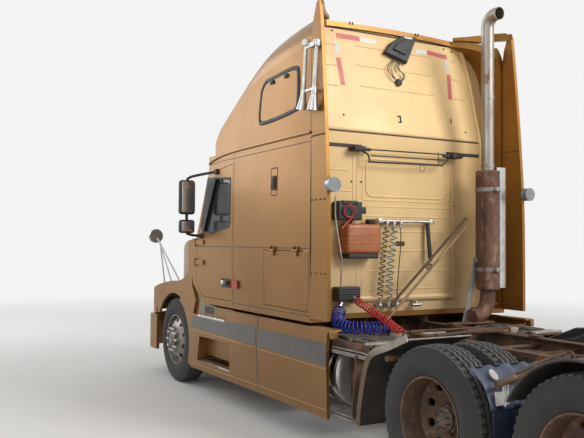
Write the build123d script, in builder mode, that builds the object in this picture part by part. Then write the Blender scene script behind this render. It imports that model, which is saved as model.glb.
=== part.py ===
"""Conventional semi truck tractor with a high-roof sleeper, two drive axles on twin wheels and a steering axle.

Millimetres. X points forward, Y to the driver's left, Z up. The origin lies on the ground under the middle of
the truck's length. Distances called aft are measured rearwards from the front axle.
"""
from build123d import *
from math import cos, radians, sin, tan
import os

os.makedirs("parts", exist_ok=True)

# Lengths along the truck
FRONT_OVERHANG = 1230
WHEELBASE = 5130
TANDEM_SPACING = 1320
REAR_OVERHANG = 900
LENGTH = FRONT_OVERHANG + WHEELBASE + TANDEM_SPACING + REAR_OVERHANG
FRONT_X = LENGTH / 2 - FRONT_OVERHANG
DRIVE_X = (FRONT_X - WHEELBASE, FRONT_X - WHEELBASE - TANDEM_SPACING)
REAR_END = -LENGTH / 2
NOSE_X = LENGTH / 2

# Running clearances
DOOR_GAP = 6
SEAT_GAP = 0.3
PIN_GAP = 0.1

# Wheels and tyres
TYRE_R = 540
TYRE_WIDTH = 276
TREAD_WIDTH = 224
BEAD_R = 311
RIM_LIP_R = 318
RIM_WIDTH = 222
RIM_WALL = 12
FRONT_TRACK = 2070
KINGPIN_INBOARD = 175
DUAL_TRACK = 1820
DUAL_SPACING = 340
AXLE_Z = TYRE_R

# Frame rails
RAIL_OUTSIDE = 850
RAIL_HEIGHT = 270
RAIL_FLANGE = 90
RAIL_WALL = 10
RAIL_TOP = 1000
RAIL_FRONT_AHEAD = 980

# Cab and sleeper
FLOOR_Z = 1080
CREASE_Z = 1750
EAVE_Z = 2800
CREASE_HALF = 1200
FLOOR_HALF = CREASE_HALF - 10
EAVE_HALF = CREASE_HALF - 5
WALL = 50
COWL_AFT = 650
SCREEN_FOOT_AFT = 760
SCREEN_FOOT_Z = 1830
SCREEN_HEAD_AFT = 1130
SCREEN_HEAD_Z = 2640
SCREEN_HALF = CREASE_HALF - 170
DOOR_FRONT_AFT = 750
DOOR_REAR_AFT = 1795
REAR_WALL_AFT = 3270
SIDE_END_AFT = 3470
EXTENDER_END_AFT = 3762

# Roof cap
ROOF_FRONT_AFT = 980
ROOF_TOP_Z = 4030
ROOF_WALL = WALL

# Hood and bumper
HOOD_WALL = 30
HOOD_HINGE_X = FRONT_X + 1135
HOOD_HINGE_Y = RAIL_OUTSIDE / 2 - 45
HOOD_HINGE_Z = 812
HINGE_PIN_R = 8
FENDER_HALF = CREASE_HALF
BUMPER_TOP = 800
BUMPER_BOTTOM = 340
HOOD_FRONT_AHEAD = 1150
ARCH_R = 600

# Skirts
SKIRT_HALF = CREASE_HALF
SKIRT_WALL = 30
SKIRT_BOTTOM = 280

C, MIN = Align.CENTER, Align.MIN


def aft(distance):
    """X of a place this far behind the front axle."""
    return FRONT_X - distance


def block(x, y, z, mode=Mode.ADD):
    """A box between two limits along each axis."""
    with Locations(((x[0] + x[1]) / 2, (y[0] + y[1]) / 2, (z[0] + z[1]) / 2)):
        Box(abs(x[1] - x[0]), abs(y[1] - y[0]), abs(z[1] - z[0]), mode=mode)


def rod(start, end, radius, mode=Mode.ADD):
    """A round bar between two points."""
    run = Vector(*end) - Vector(*start)
    with Locations(Plane(origin=start, z_dir=run)):
        Cylinder(radius, run.length, align=(C, C, MIN), mode=mode)


def taper(start, end, start_radius, end_radius):
    """A round bar that widens or narrows between two points."""
    run = Vector(*end) - Vector(*start)
    with Locations(Plane(origin=start, z_dir=run)):
        Cone(start_radius, end_radius, run.length, align=(C, C, MIN))


def side_plate(points, y_low, y_high, mode=Mode.ADD):
    """A side outline, points in X and Z, carried across from one Y to the other."""
    with BuildSketch(Plane.XZ.offset(-y_high)) as face:
        with BuildLine():
            Polyline(*points, close=True)
        make_face()
    extrude(face.sketch, amount=y_high - y_low, mode=mode)


def wheel_ring(x, y, outline, mode=Mode.ADD):
    """A turned ring about an axle, its outline in distance outwards along Y from y, and radius."""
    with BuildSketch(Plane.YZ.offset(x)) as face:
        with BuildLine():
            Polyline(*[(y + across, AXLE_Z + radius) for across, radius in outline], close=True)
        make_face()
    revolve(face.sketch, axis=Axis((x, 0, AXLE_Z), (0, 1, 0)), mode=mode)


def finish(part, name):
    """Label a finished piece and write it."""
    part.label = name
    export_step(part, f"parts/{name}.step")


def mirrored(part):
    """The same piece for the other side of the truck."""
    return mirror(part, about=Plane.XZ)


def both_sides(part, name):
    """Write a left piece and its mirror image."""
    finish(part, f"{name}_left")
    finish(mirrored(part), f"{name}_right")


# Frame: two channel rails joined by cross members
RAIL_HALF = RAIL_OUTSIDE / 2
RAIL_BOTTOM = RAIL_TOP - RAIL_HEIGHT
RAIL_FRONT = FRONT_X + RAIL_FRONT_AHEAD
TANDEM_END = WHEELBASE + TANDEM_SPACING
CROSS_AFT = (-900, 1500, 3000, 4000, WHEELBASE - 30, (WHEELBASE + TANDEM_END) / 2, TANDEM_END + 50,
             TANDEM_END + REAR_OVERHANG - 70)
CROSS_LENGTH = 120
CROSS_WALL = 12
CROSS_Z = (RAIL_BOTTOM + 40, RAIL_TOP - 50)
CAB_MOUNT_AFT = (900, 3150)
CAB_MOUNT_R = 40
TOW_HOLE_R = 11
TOW_HOLE_Z = RAIL_BOTTOM + 130
TOW_HOLE_SPACING = (200, 100)

with BuildPart() as frame:
    block((REAR_END, RAIL_FRONT), (RAIL_HALF - RAIL_WALL, RAIL_HALF), (RAIL_BOTTOM, RAIL_TOP))
    for z in (RAIL_BOTTOM, RAIL_TOP - RAIL_WALL):
        block((REAR_END, RAIL_FRONT), (RAIL_HALF - RAIL_FLANGE, RAIL_HALF), (z, z + RAIL_WALL))
    mirror(about=Plane.XZ)
    for distance in CROSS_AFT:
        x = aft(distance)
        inner = RAIL_HALF - RAIL_WALL
        foot = (CROSS_Z[0], CROSS_Z[0] + CROSS_WALL)
        block((x - CROSS_LENGTH / 2, x + CROSS_LENGTH / 2), (-inner, inner), foot)
        block((x - CROSS_WALL / 2, x + CROSS_WALL / 2), (-inner, inner), CROSS_Z)
    for distance in CAB_MOUNT_AFT:
        for y in (RAIL_FLANGE / 2 - RAIL_HALF, RAIL_HALF - RAIL_FLANGE / 2):
            with Locations((aft(distance), y, RAIL_TOP)):
                Cylinder(CAB_MOUNT_R, FLOOR_Z - RAIL_TOP - SEAT_GAP, align=(C, C, MIN))
    with Locations(Plane(origin=(aft(CROSS_AFT[-1]), 0, TOW_HOLE_Z), z_dir=(1, 0, 0), x_dir=(0, 1, 0))):
        with GridLocations(*TOW_HOLE_SPACING, 2, 2):
            Cylinder(TOW_HOLE_R, CROSS_WALL + 2, mode=Mode.SUBTRACT)
finish(frame.part, "frame")


# Front bumper: a wrapped beam with turned ends, hung on the rails with two ears for each hood hinge
HINGE_EAR_Y = (26, 42)
BUMPER_WALL = 40
BUMPER_END_AFT = -620
BUMPER_CORNER = 330
BUMPER_BOW = 20
BUMPER_TURN = 120
BUMPER_BRACKET_Z = 560

def bumper_plan(inset, z):
    """Outline of the bumper from above at a height, brought in by inset."""
    nose = NOSE_X - inset
    half = FENDER_HALF - inset
    rear = aft(BUMPER_END_AFT) - (1 if inset else 0)
    with BuildSketch(Plane.XY.offset(z)) as plan:
        with BuildLine():
            corner_x = nose - BUMPER_CORNER - BUMPER_TURN
            corner_y = half - BUMPER_CORNER - BUMPER_TURN / 2
            side = Line((rear, half), (corner_x, half))
            turn_y = half - BUMPER_TURN - 10
            bend = ThreePointArc(side @ 1, (nose - BUMPER_TURN, turn_y), (nose - BUMPER_BOW, corner_y))
            front = ThreePointArc(bend @ 1, (nose, 0), (nose - BUMPER_BOW, -corner_y))
            other = ThreePointArc(front @ 1, (nose - BUMPER_TURN, -turn_y), (corner_x, -half))
            back = Line(other @ 1, (rear, -half))
            Line(back @ 1, side @ 0)
        make_face()
    return plan.sketch

with BuildPart() as bumper:
    extrude(bumper_plan(0, BUMPER_BOTTOM), amount=BUMPER_TOP - BUMPER_BOTTOM)
    extrude(bumper_plan(BUMPER_WALL, BUMPER_BOTTOM - 1), amount=BUMPER_TOP - BUMPER_BOTTOM + 2,
            mode=Mode.SUBTRACT)
    for side in (-1, 1):
        centre = side * HOOD_HINGE_Y
        y = sorted((side * (RAIL_HALF - RAIL_FLANGE), side * RAIL_HALF))
        block((RAIL_FRONT + SEAT_GAP, NOSE_X - BUMPER_WALL + 5), y, (BUMPER_BRACKET_Z, BUMPER_TOP - 50))
        for ear in (-1, 1):
            y = sorted(centre + ear * reach for reach in HINGE_EAR_Y)
            block((HOOD_HINGE_X - 16, HOOD_HINGE_X + 16), y, (BUMPER_TOP - 60, HOOD_HINGE_Z + 12))
        rod((HOOD_HINGE_X, centre - HINGE_EAR_Y[1], HOOD_HINGE_Z),
            (HOOD_HINGE_X, centre + HINGE_EAR_Y[1], HOOD_HINGE_Z), HINGE_PIN_R)
finish(bumper.part, "front_bumper")

# Engine: one plain block between the rails
ENGINE_AFT = (-700, 620)
ENGINE_HALF = 300
ENGINE_Z = (620, 1400)
ENGINE_MOUNT_AFT = (300, 420)
ENGINE_MOUNT_Z = (820, 900)
with BuildPart() as engine:
    block((aft(ENGINE_AFT[1]), aft(ENGINE_AFT[0])), (-ENGINE_HALF, ENGINE_HALF), ENGINE_Z)
    mount = RAIL_HALF - RAIL_WALL - SEAT_GAP
    block((aft(ENGINE_MOUNT_AFT[1]), aft(ENGINE_MOUNT_AFT[0])), (-mount, mount), ENGINE_MOUNT_Z)
finish(engine.part, "engine")


# Hood: a sloping centre between two fenders, hollow, with a wheel arch each side
HOOD_REAR_AFT = COWL_AFT - DOOR_GAP
HOOD_BOTTOM = BUMPER_TOP + 50
SHUT_GAP = 8
# Edge between hood and skirt, as aft and height
SHUT_LINE = ((218, 1062), (461, 1240), (595, 1309), (644, 1350))
# Fender top from the cab forwards, as aft and height
FENDER_TOP = ((450, 1405), (226, 1318), (0, 1298), (-204, 1279), (-470, 1239), (-707, 1185), (-870, 1106),
              (-970, 1000), (-1000, 900))
LAMP_Y = (640, 1010)
LAMP_Z = (930, 1060)
LAMP_BACK = FRONT_X + HOOD_FRONT_AHEAD - 260
GRILLE_HALF = 400
GRILLE_Z = (880, 1300)
GRILLE_BACK = 160
HOOD_TOP = (1850, 1725, 1440, 1380, 1290)
HOOD_CENTRE_HALF = (1150, 940, 560)
HOOD_CENTRE_MOST = 1100
HOOD_EYE_HALF = 22
HOOD_EYE_R = 15

def hood_solid(inset):
    """The hood's outer form, brought in by inset on every face but the rear."""
    rear = aft(HOOD_REAR_AFT) - (1 if inset else 0)
    nose = FRONT_X + HOOD_FRONT_AHEAD - inset
    low = HOOD_BOTTOM - (1 if inset else 0)
    with BuildPart() as centre:
        with BuildSketch(Plane.XZ):
            with BuildLine():
                cowl, middle, brow, lip, chin = (z - inset for z in HOOD_TOP)
                top = ThreePointArc((rear, cowl), (FRONT_X + 250, middle), (nose - 110, brow))
                bend = ThreePointArc(top @ 1, (nose - 35, lip), (nose - 25, chin))
                Polyline(bend @ 1, (nose, low), (rear, low), top @ 0)
            make_face()
        extrude(amount=HOOD_CENTRE_MOST - inset, both=True)
        with BuildSketch(Plane.XY):
            with BuildLine():
                wide, waist, narrow = (half - inset for half in HOOD_CENTRE_HALF)
                side = ThreePointArc((rear, wide), (FRONT_X + 300, waist), (nose - 120, narrow))
                front = ThreePointArc(side @ 1, (nose + 30, 0), (nose - 120, -narrow))
                other = ThreePointArc(front @ 1, (FRONT_X + 300, -waist), (rear, -wide))
                Line(other @ 1, side @ 0)
            make_face()
        extrude(amount=EAVE_Z, mode=Mode.INTERSECT)
    with BuildPart() as fenders:
        with BuildSketch(Plane.XZ):
            with BuildLine():
                over = [(aft(distance) - inset, z - inset) for distance, z in FENDER_TOP]
                top = Spline((rear, 1540 - inset), *over)
                Polyline(top @ 1, (over[-1][0], low), (rear, low), top @ 0)
            make_face()
        extrude(amount=FENDER_HALF - inset, both=True)
        with BuildSketch(Plane.XY):
            with BuildLine():
                half = FENDER_HALF - inset
                side = Line((rear, half - 20), (FRONT_X + 560, half))
                bend = ThreePointArc(side @ 1, (nose - 150, half - 150), (nose - 30, half - 480))
                front = ThreePointArc(bend @ 1, (nose + 10, 0), (nose - 30, 480 - half))
                other = ThreePointArc(front @ 1, (nose - 150, 150 - half), (FRONT_X + 560, -half))
                last = Line(other @ 1, (rear, 20 - half))
                Line(last @ 1, side @ 0)
            make_face()
        extrude(amount=EAVE_Z, mode=Mode.INTERSECT)
    with BuildPart() as whole:
        add(centre.part)
        add(fenders.part)
    return whole.part

with BuildPart() as hood:
    add(hood_solid(0))
    add(hood_solid(HOOD_WALL), mode=Mode.SUBTRACT)
    with Locations(Plane(origin=(FRONT_X, -FENDER_HALF - 50, AXLE_Z), z_dir=(0, 1, 0))):
        Cylinder(ARCH_R, 2 * FENDER_HALF + 100, align=(C, C, MIN), mode=Mode.SUBTRACT)
    behind = aft(HOOD_REAR_AFT) - 5
    side_plate((*[(aft(distance), z + SHUT_GAP) for distance, z in SHUT_LINE],
                (behind, SHUT_LINE[-1][1] + SHUT_GAP), (behind, AXLE_Z), (aft(SHUT_LINE[0][0]), AXLE_Z)),
               -FENDER_HALF - 10, FENDER_HALF + 10, mode=Mode.SUBTRACT)
    block((FRONT_X + HOOD_FRONT_AHEAD - GRILLE_BACK, NOSE_X), (-GRILLE_HALF, GRILLE_HALF), GRILLE_Z,
          mode=Mode.SUBTRACT)
    for side in (-1, 1):
        y = sorted((side * (LAMP_Y[0] - SEAT_GAP), side * (LAMP_Y[1] + SEAT_GAP)))
        block((LAMP_BACK - SEAT_GAP, NOSE_X + 10), y, (LAMP_Z[0] - SEAT_GAP, LAMP_Z[1] + SEAT_GAP),
              mode=Mode.SUBTRACT)
        low, high = side * HOOD_HINGE_Y - HOOD_EYE_HALF, side * HOOD_HINGE_Y + HOOD_EYE_HALF
        rod((HOOD_HINGE_X, low, HOOD_HINGE_Z), (HOOD_HINGE_X, high, HOOD_HINGE_Z), HOOD_EYE_R)
        block((HOOD_HINGE_X - HOOD_EYE_R, HOOD_HINGE_X + 10), (low, high),
              (HOOD_HINGE_Z, HOOD_BOTTOM + HOOD_WALL))
        rod((HOOD_HINGE_X, low - 1, HOOD_HINGE_Z), (HOOD_HINGE_X, high + 1, HOOD_HINGE_Z),
            HINGE_PIN_R + PIN_GAP, mode=Mode.SUBTRACT)
finish(hood.part, "hood")

# Headlamps: units that fill the openings at the hood's corners
def lamp_openings():
    """The two openings' own shape."""
    with BuildPart() as openings:
        for side in (-1, 1):
            block((LAMP_BACK, NOSE_X + 10), sorted((side * LAMP_Y[0], side * LAMP_Y[1])), LAMP_Z)
    return openings.part

with BuildPart() as lamps:
    add(hood_solid(0))
    add(lamp_openings(), mode=Mode.INTERSECT)
finish(lamps.part, "headlamps")

# Hood mirrors: round heads on three legs over each fender
HOOD_MIRROR = (FRONT_X + 725, FENDER_HALF - 10, 1881)
HOOD_MIRROR_R = 95
HOOD_MIRROR_LEG_R = 10
HOOD_MIRROR_FOOT_Z = 1150
# Foot of each leg, as distance ahead of the front axle and distance out
HOOD_MIRROR_LEGS = ((600, 1090), (260, 1090), (100, 1000))
with BuildPart() as hood_mirrors:
    x, y, z = HOOD_MIRROR
    joint = (x - 60, y - 40, z - 100)
    rod((x - 20, y, z), (x + 45, y, z), HOOD_MIRROR_R)
    rod((x + 12, y, z), joint, HOOD_MIRROR_LEG_R + 2)
    for ahead, leg_y in HOOD_MIRROR_LEGS:
        rod(joint, (FRONT_X + ahead, leg_y, HOOD_MIRROR_FOOT_Z), HOOD_MIRROR_LEG_R)
    add(hood_solid(-SEAT_GAP), mode=Mode.SUBTRACT)
    mirror(about=Plane.XZ)
finish(hood_mirrors.part, "hood_mirrors")

# Grille: a frame filled by slats, seated in the hood's nose
GRILLE_SLATS = 9
GRILLE_FRAME = 34
GRILLE_DEPTH = 50
SLAT_THICK = 14
with BuildPart() as grille:
    back = FRONT_X + HOOD_FRONT_AHEAD - 60
    half, low, high = GRILLE_HALF - SEAT_GAP, GRILLE_Z[0] + SEAT_GAP, GRILLE_Z[1] - SEAT_GAP
    block((back, back + GRILLE_DEPTH), (-half, half), (low, high))
    inner, first, last = half - GRILLE_FRAME, low + GRILLE_FRAME, high - GRILLE_FRAME
    block((back - 1, back + GRILLE_DEPTH + 1), (-inner, inner), (first, last), mode=Mode.SUBTRACT)
    for n in range(GRILLE_SLATS):
        z = first + (n + 0.5) * (last - first) / GRILLE_SLATS
        block((back + 8, back + GRILLE_DEPTH - 6), (-inner - 4, inner + 4),
              (z - SLAT_THICK / 2, z + SLAT_THICK / 2))
    block((back, back + 6), (-inner - 4, inner + 4), (first - 4, last + 4))
finish(grille.part, "grille")


# Cab: side walls, floor and front, hollow and open to the roof cap
def cab_half(z):
    """Half the cab's width at a height: widest at the crease."""
    if z < CREASE_Z:
        return FLOOR_HALF + (z - FLOOR_Z) / (CREASE_Z - FLOOR_Z) * (CREASE_HALF - FLOOR_HALF)
    return CREASE_HALF + (z - CREASE_Z) / (EAVE_Z - CREASE_Z) * (EAVE_HALF - CREASE_HALF)

def cab_prism(x_rear, x_front, inset, bottom, top):
    """The cab's cross-section between two heights, walls brought in by inset, carried along the truck."""
    points = [(cab_half(z) - inset, z) for z in (bottom, CREASE_Z, top)]
    with BuildPart() as prism:
        with BuildSketch(Plane.YZ.offset(x_rear)):
            with BuildLine():
                Polyline(*points, *[(-y, z) for y, z in reversed(points)], close=True)
            make_face()
        extrude(amount=x_front - x_rear)
    return prism.part

SCREEN_SLOPE = (SCREEN_HEAD_AFT - SCREEN_FOOT_AFT) / (SCREEN_HEAD_Z - SCREEN_FOOT_Z)
SCREEN_FRAME = 60
PANE_Z = (SCREEN_FOOT_Z + SCREEN_FRAME, SCREEN_HEAD_Z - SCREEN_FRAME)
PANE_THICK = 8
DOOR_SILL_Z = 1160
DOOR_HEAD_Z = 2660
DOOR_OUTLINE = ((879, 1959), (800, 1827), (770, 1560), (775, 1342), (882, 1215), (1005, DOOR_SILL_Z),
                (DOOR_REAR_AFT, DOOR_SILL_Z), (DOOR_REAR_AFT, DOOR_HEAD_Z), (1187, 2610))
GLASS_OUTLINE = ((985, 1915), (1243, 1908), (1712, 1977), (1735, 2025), (1735, 2510), (1235, 2545), (960, 1990))
CUT_LOW = CREASE_HALF - 300
CUT_HIGH = CREASE_HALF + 100

def outline(table, grow=0.0):
    """Points of a side outline in X and Z from a table of aft and height, grown by a margin all round."""
    with BuildSketch() as sketch:
        with BuildLine():
            Polyline(*[(aft(distance), z) for distance, z in table], close=True)
        make_face()
        if grow:
            offset(amount=grow, kind=Kind.INTERSECTION)
    return sketch.sketch

def side_cut(table, grow, y_low, y_high):
    """A solid of a side outline between two places across the truck."""
    with BuildPart() as cut:
        with BuildSketch(Plane.XZ.offset(-y_high)):
            add(outline(table, grow))
        extrude(amount=y_high - y_low)
    return cut.part

# Hinges: a knuckle and strap on the door, two ears and a pin on the body beside it
HINGE_R = 11
HINGE_BORE_R = 6
HINGE_LENGTH = 60
HINGE_EAR = 14
HINGE_PLAY = 2
DOOR_HINGE_X = aft(762)
DOOR_HINGE_Y = CREASE_HALF + 17
DOOR_HINGE_Z = (1560, 1800)
LUGGAGE_HINGE_Y = CREASE_HALF + 15
LUGGAGE_HINGE_Z = 1728
LUGGAGE_HINGE_AFT = (2760, 3220)

def hinge_knuckle(centre, along, strap):
    """The door's half: a bored barrel, and a strap given as three pairs of limits."""
    half = Vector(*along) * (HINGE_LENGTH / 2)
    over = half * 1.1
    middle = Vector(*centre)
    rod(tuple(middle - half), tuple(middle + half), HINGE_R)
    block(*strap)
    rod(tuple(middle - over), tuple(middle + over), HINGE_BORE_R + PIN_GAP, mode=Mode.SUBTRACT)

def hinge_ears(centre, along, *feet):
    """The body's half: a pin between two ears, each on feet given as two pairs of limits across the pin."""
    middle = Vector(*centre)
    inner = HINGE_LENGTH / 2 + HINGE_PLAY
    outer = inner + HINGE_EAR
    run = Vector(*along)
    rod(tuple(middle - run * outer), tuple(middle + run * outer), HINGE_BORE_R)
    for side in (-1, 1):
        rod(tuple(middle + run * (side * inner)), tuple(middle + run * (side * outer)), HINGE_R)
        span = sorted(centre[2 if along[2] else 0] + side * reach for reach in (inner, outer))
        for foot in feet:
            block(*((*foot, span) if along[2] else (span, *foot)))

CAB_SPLIT_AFT = DOOR_REAR_AFT + 30
with BuildPart() as cab:
    add(cab_prism(aft(CAB_SPLIT_AFT), aft(COWL_AFT), 0, FLOOR_Z, EAVE_Z))
    add(cab_prism(aft(CAB_SPLIT_AFT) - 1, aft(COWL_AFT) - WALL, WALL, FLOOR_Z + WALL, EAVE_Z + 1),
        mode=Mode.SUBTRACT)
    side_plate(((aft(COWL_AFT) + 5, SCREEN_FOOT_Z), (aft(SCREEN_FOOT_AFT), SCREEN_FOOT_Z),
                (aft(SCREEN_HEAD_AFT), SCREEN_HEAD_Z), (aft(SCREEN_HEAD_AFT), EAVE_Z + 5),
                (aft(COWL_AFT) + 5, EAVE_Z + 5)), -CREASE_HALF - 10, CREASE_HALF + 10, mode=Mode.SUBTRACT)
    side_plate(((aft(COWL_AFT), FLOOR_Z - 5), (aft(COWL_AFT), 1300), (aft(1000), FLOOR_Z - 5)),
               -CREASE_HALF - 10, CREASE_HALF + 10, mode=Mode.SUBTRACT)
    inner_foot, inner_head = aft(SCREEN_FOOT_AFT + SCREEN_FRAME), aft(SCREEN_HEAD_AFT + SCREEN_FRAME)
    side_plate(((inner_foot, SCREEN_FOOT_Z), (aft(SCREEN_FOOT_AFT), SCREEN_FOOT_Z),
                (aft(SCREEN_HEAD_AFT), SCREEN_HEAD_Z), (aft(SCREEN_HEAD_AFT), EAVE_Z),
                (inner_head, EAVE_Z), (inner_head, SCREEN_HEAD_Z)), WALL - CREASE_HALF, CREASE_HALF - WALL)
    add(side_cut(((SCREEN_FOOT_AFT - 60, PANE_Z[0]), (SCREEN_FOOT_AFT + 160, PANE_Z[0]),
                  (SCREEN_HEAD_AFT + 110, PANE_Z[1]), (SCREEN_HEAD_AFT - 110, PANE_Z[1])),
                 0, -SCREEN_HALF, SCREEN_HALF), mode=Mode.SUBTRACT)
    for low, high in ((CUT_LOW, CUT_HIGH), (-CUT_HIGH, -CUT_LOW)):
        add(side_cut(DOOR_OUTLINE, DOOR_GAP, low, high), mode=Mode.SUBTRACT)
    for z in DOOR_HINGE_Z:
        for side in (-1, 1):
            y = sorted((side * (cab_half(z - 50) - 15), side * (DOOR_HINGE_Y + 4)))
            foot = ((DOOR_HINGE_X, DOOR_HINGE_X + 70), y)
            hinge_ears((DOOR_HINGE_X, side * DOOR_HINGE_Y, z), (0, 0, 1), foot)
finish(cab.part, "cab_shell")

# Windscreen: one raked pane in the front opening
with BuildPart() as screen:
    edge = [(aft(SCREEN_FOOT_AFT + 20 + SCREEN_SLOPE * (z - SCREEN_FOOT_Z)), z)
            for z in (PANE_Z[0] + SEAT_GAP, PANE_Z[1] - SEAT_GAP)]
    side_plate((*edge, *[(x - PANE_THICK, z) for x, z in reversed(edge)]),
               SEAT_GAP - SCREEN_HALF, SCREEN_HALF - SEAT_GAP)
finish(screen.part, "windscreen")

# Doors: the wall cut at the door's edges, with its window opening
STRAP_HALF = 28
STRAP_END_AFT = 1010
with BuildPart() as door:
    add(cab_prism(aft(DOOR_REAR_AFT), aft(DOOR_FRONT_AFT), 0, DOOR_SILL_Z, DOOR_HEAD_Z + 20))
    add(cab_prism(aft(DOOR_REAR_AFT) - 1, aft(DOOR_FRONT_AFT) + 1, WALL, DOOR_SILL_Z - 1, DOOR_HEAD_Z + 21),
        mode=Mode.SUBTRACT)
    add(side_cut(DOOR_OUTLINE, 0, CUT_LOW, CUT_HIGH), mode=Mode.INTERSECT)
    add(side_cut(GLASS_OUTLINE, 0, CUT_LOW, CUT_HIGH), mode=Mode.SUBTRACT)
    for z in DOOR_HINGE_Z:
        height = (z - STRAP_HALF, z + STRAP_HALF)
        strap = ((aft(STRAP_END_AFT), DOOR_HINGE_X), (CREASE_HALF + DOOR_GAP, DOOR_HINGE_Y), height)
        hinge_knuckle((DOOR_HINGE_X, DOOR_HINGE_Y, z), (0, 0, 1), strap)
        block((aft(STRAP_END_AFT), aft(STRAP_END_AFT - 50)), (cab_half(z) - 20, DOOR_HINGE_Y), height)
both_sides(door.part, "door")

DOOR_PANE = (22, 28)
with BuildPart() as glass:
    add(cab_prism(aft(DOOR_REAR_AFT), aft(DOOR_FRONT_AFT), DOOR_PANE[0], DOOR_SILL_Z, DOOR_HEAD_Z))
    add(cab_prism(aft(DOOR_REAR_AFT) - 1, aft(DOOR_FRONT_AFT) + 1, DOOR_PANE[1], DOOR_SILL_Z - 1,
                  DOOR_HEAD_Z + 1), mode=Mode.SUBTRACT)
    add(side_cut(GLASS_OUTLINE, -SEAT_GAP, CUT_LOW, CUT_HIGH), mode=Mode.INTERSECT)
both_sides(glass.part, "door_glass")

# Door mirrors: a tall housing over a small one, on two arms
MIRROR_Y = CREASE_HALF + 200
MIRROR_AFT = 950
MIRROR_ARM_R = 14
MIRROR_FOOT = 30
# Size of each housing along, across and up, and the height of its middle
MIRROR_HEAD, MIRROR_HEAD_Z = (90, 190, 400), 2330
MIRROR_LOW, MIRROR_LOW_Z = (80, 180, 150), 1985
# Foot of each arm as aft and height, and the arm's height at the mirror
MIRROR_ARMS = ((1370, 2610, 2545), (935, 1875, 1905))
with BuildPart() as mirror_arm:
    with Locations((aft(MIRROR_AFT), MIRROR_Y, MIRROR_HEAD_Z)):
        Box(*MIRROR_HEAD)
    fillet(mirror_arm.edges().filter_by(Axis.X), 40)
    with Locations((aft(MIRROR_AFT), MIRROR_Y, MIRROR_LOW_Z)):
        Box(*MIRROR_LOW)
    rod((aft(MIRROR_AFT), MIRROR_Y, MIRROR_ARMS[1][2] - 5), (aft(MIRROR_AFT), MIRROR_Y, MIRROR_ARMS[0][2] + 15),
        MIRROR_ARM_R - 2)
    for foot_aft, foot_z, arm_z in MIRROR_ARMS:
        foot = cab_half(foot_z - MIRROR_FOOT) + SEAT_GAP
        rod((aft(MIRROR_AFT), MIRROR_Y, arm_z), (aft(foot_aft), foot + 15, foot_z), MIRROR_ARM_R)
        block((aft(foot_aft) - MIRROR_FOOT, aft(foot_aft) + MIRROR_FOOT), (foot, foot + 25),
              (foot_z - MIRROR_FOOT, foot_z + MIRROR_FOOT))
both_sides(mirror_arm.part, "door_mirror")

# Sleeper: side walls and floor between the cab and the rear wall
LUGGAGE_AFT = (2560, 3440)
LUGGAGE_TOP_Z = 1725
LUGGAGE_OUTLINE = ((LUGGAGE_AFT[0], 1185), (3410, 1175), (LUGGAGE_AFT[1], 1400),
                   (LUGGAGE_AFT[1], LUGGAGE_TOP_Z), (LUGGAGE_AFT[0], LUGGAGE_TOP_Z))
with BuildPart() as sleeper:
    add(cab_prism(aft(SIDE_END_AFT), aft(CAB_SPLIT_AFT) - SEAT_GAP, 0, FLOOR_Z, EAVE_Z))
    add(cab_prism(aft(SIDE_END_AFT) - 1, aft(CAB_SPLIT_AFT), WALL, FLOOR_Z + WALL, EAVE_Z + 1),
        mode=Mode.SUBTRACT)
    block((aft(SIDE_END_AFT) - 1, aft(REAR_WALL_AFT)), (200 - CREASE_HALF, CREASE_HALF - 200),
          (FLOOR_Z - 1, FLOOR_Z + WALL + 1), mode=Mode.SUBTRACT)
    for low, high in ((CUT_LOW, CUT_HIGH), (-CUT_HIGH, -CUT_LOW)):
        add(side_cut(LUGGAGE_OUTLINE, DOOR_GAP, low, high), mode=Mode.SUBTRACT)
    for distance in LUGGAGE_HINGE_AFT:
        for side in (-1, 1):
            y = sorted((side * (CREASE_HALF - 20), side * (LUGGAGE_HINGE_Y + 4)))
            hinge_ears((aft(distance), side * LUGGAGE_HINGE_Y, LUGGAGE_HINGE_Z), (1, 0, 0),
                       (y, (LUGGAGE_HINGE_Z + 6, LUGGAGE_HINGE_Z + 40)),
                       (sorted((side * (LUGGAGE_HINGE_Y - 4), side * (LUGGAGE_HINGE_Y + 4))),
                        (LUGGAGE_HINGE_Z, LUGGAGE_HINGE_Z + 20)))
finish(sleeper.part, "sleeper_shell")

with BuildPart() as luggage:
    add(cab_prism(aft(LUGGAGE_AFT[1]), aft(LUGGAGE_AFT[0]), 0, FLOOR_Z, CREASE_Z + 30))
    add(cab_prism(aft(LUGGAGE_AFT[1]) - 1, aft(LUGGAGE_AFT[0]) + 1, WALL, FLOOR_Z - 1, CREASE_Z + 31),
        mode=Mode.SUBTRACT)
    add(side_cut(LUGGAGE_OUTLINE, 0, CUT_LOW, CUT_HIGH), mode=Mode.INTERSECT)
    for distance in LUGGAGE_HINGE_AFT:
        x = aft(distance)
        strap = ((x - STRAP_HALF, x + STRAP_HALF), (LUGGAGE_HINGE_Y - 20, LUGGAGE_HINGE_Y + 3),
                 (LUGGAGE_HINGE_Z - 50, LUGGAGE_HINGE_Z))
        hinge_knuckle((x, LUGGAGE_HINGE_Y, LUGGAGE_HINGE_Z), (1, 0, 0), strap)
both_sides(luggage.part, "luggage_door")


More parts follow.
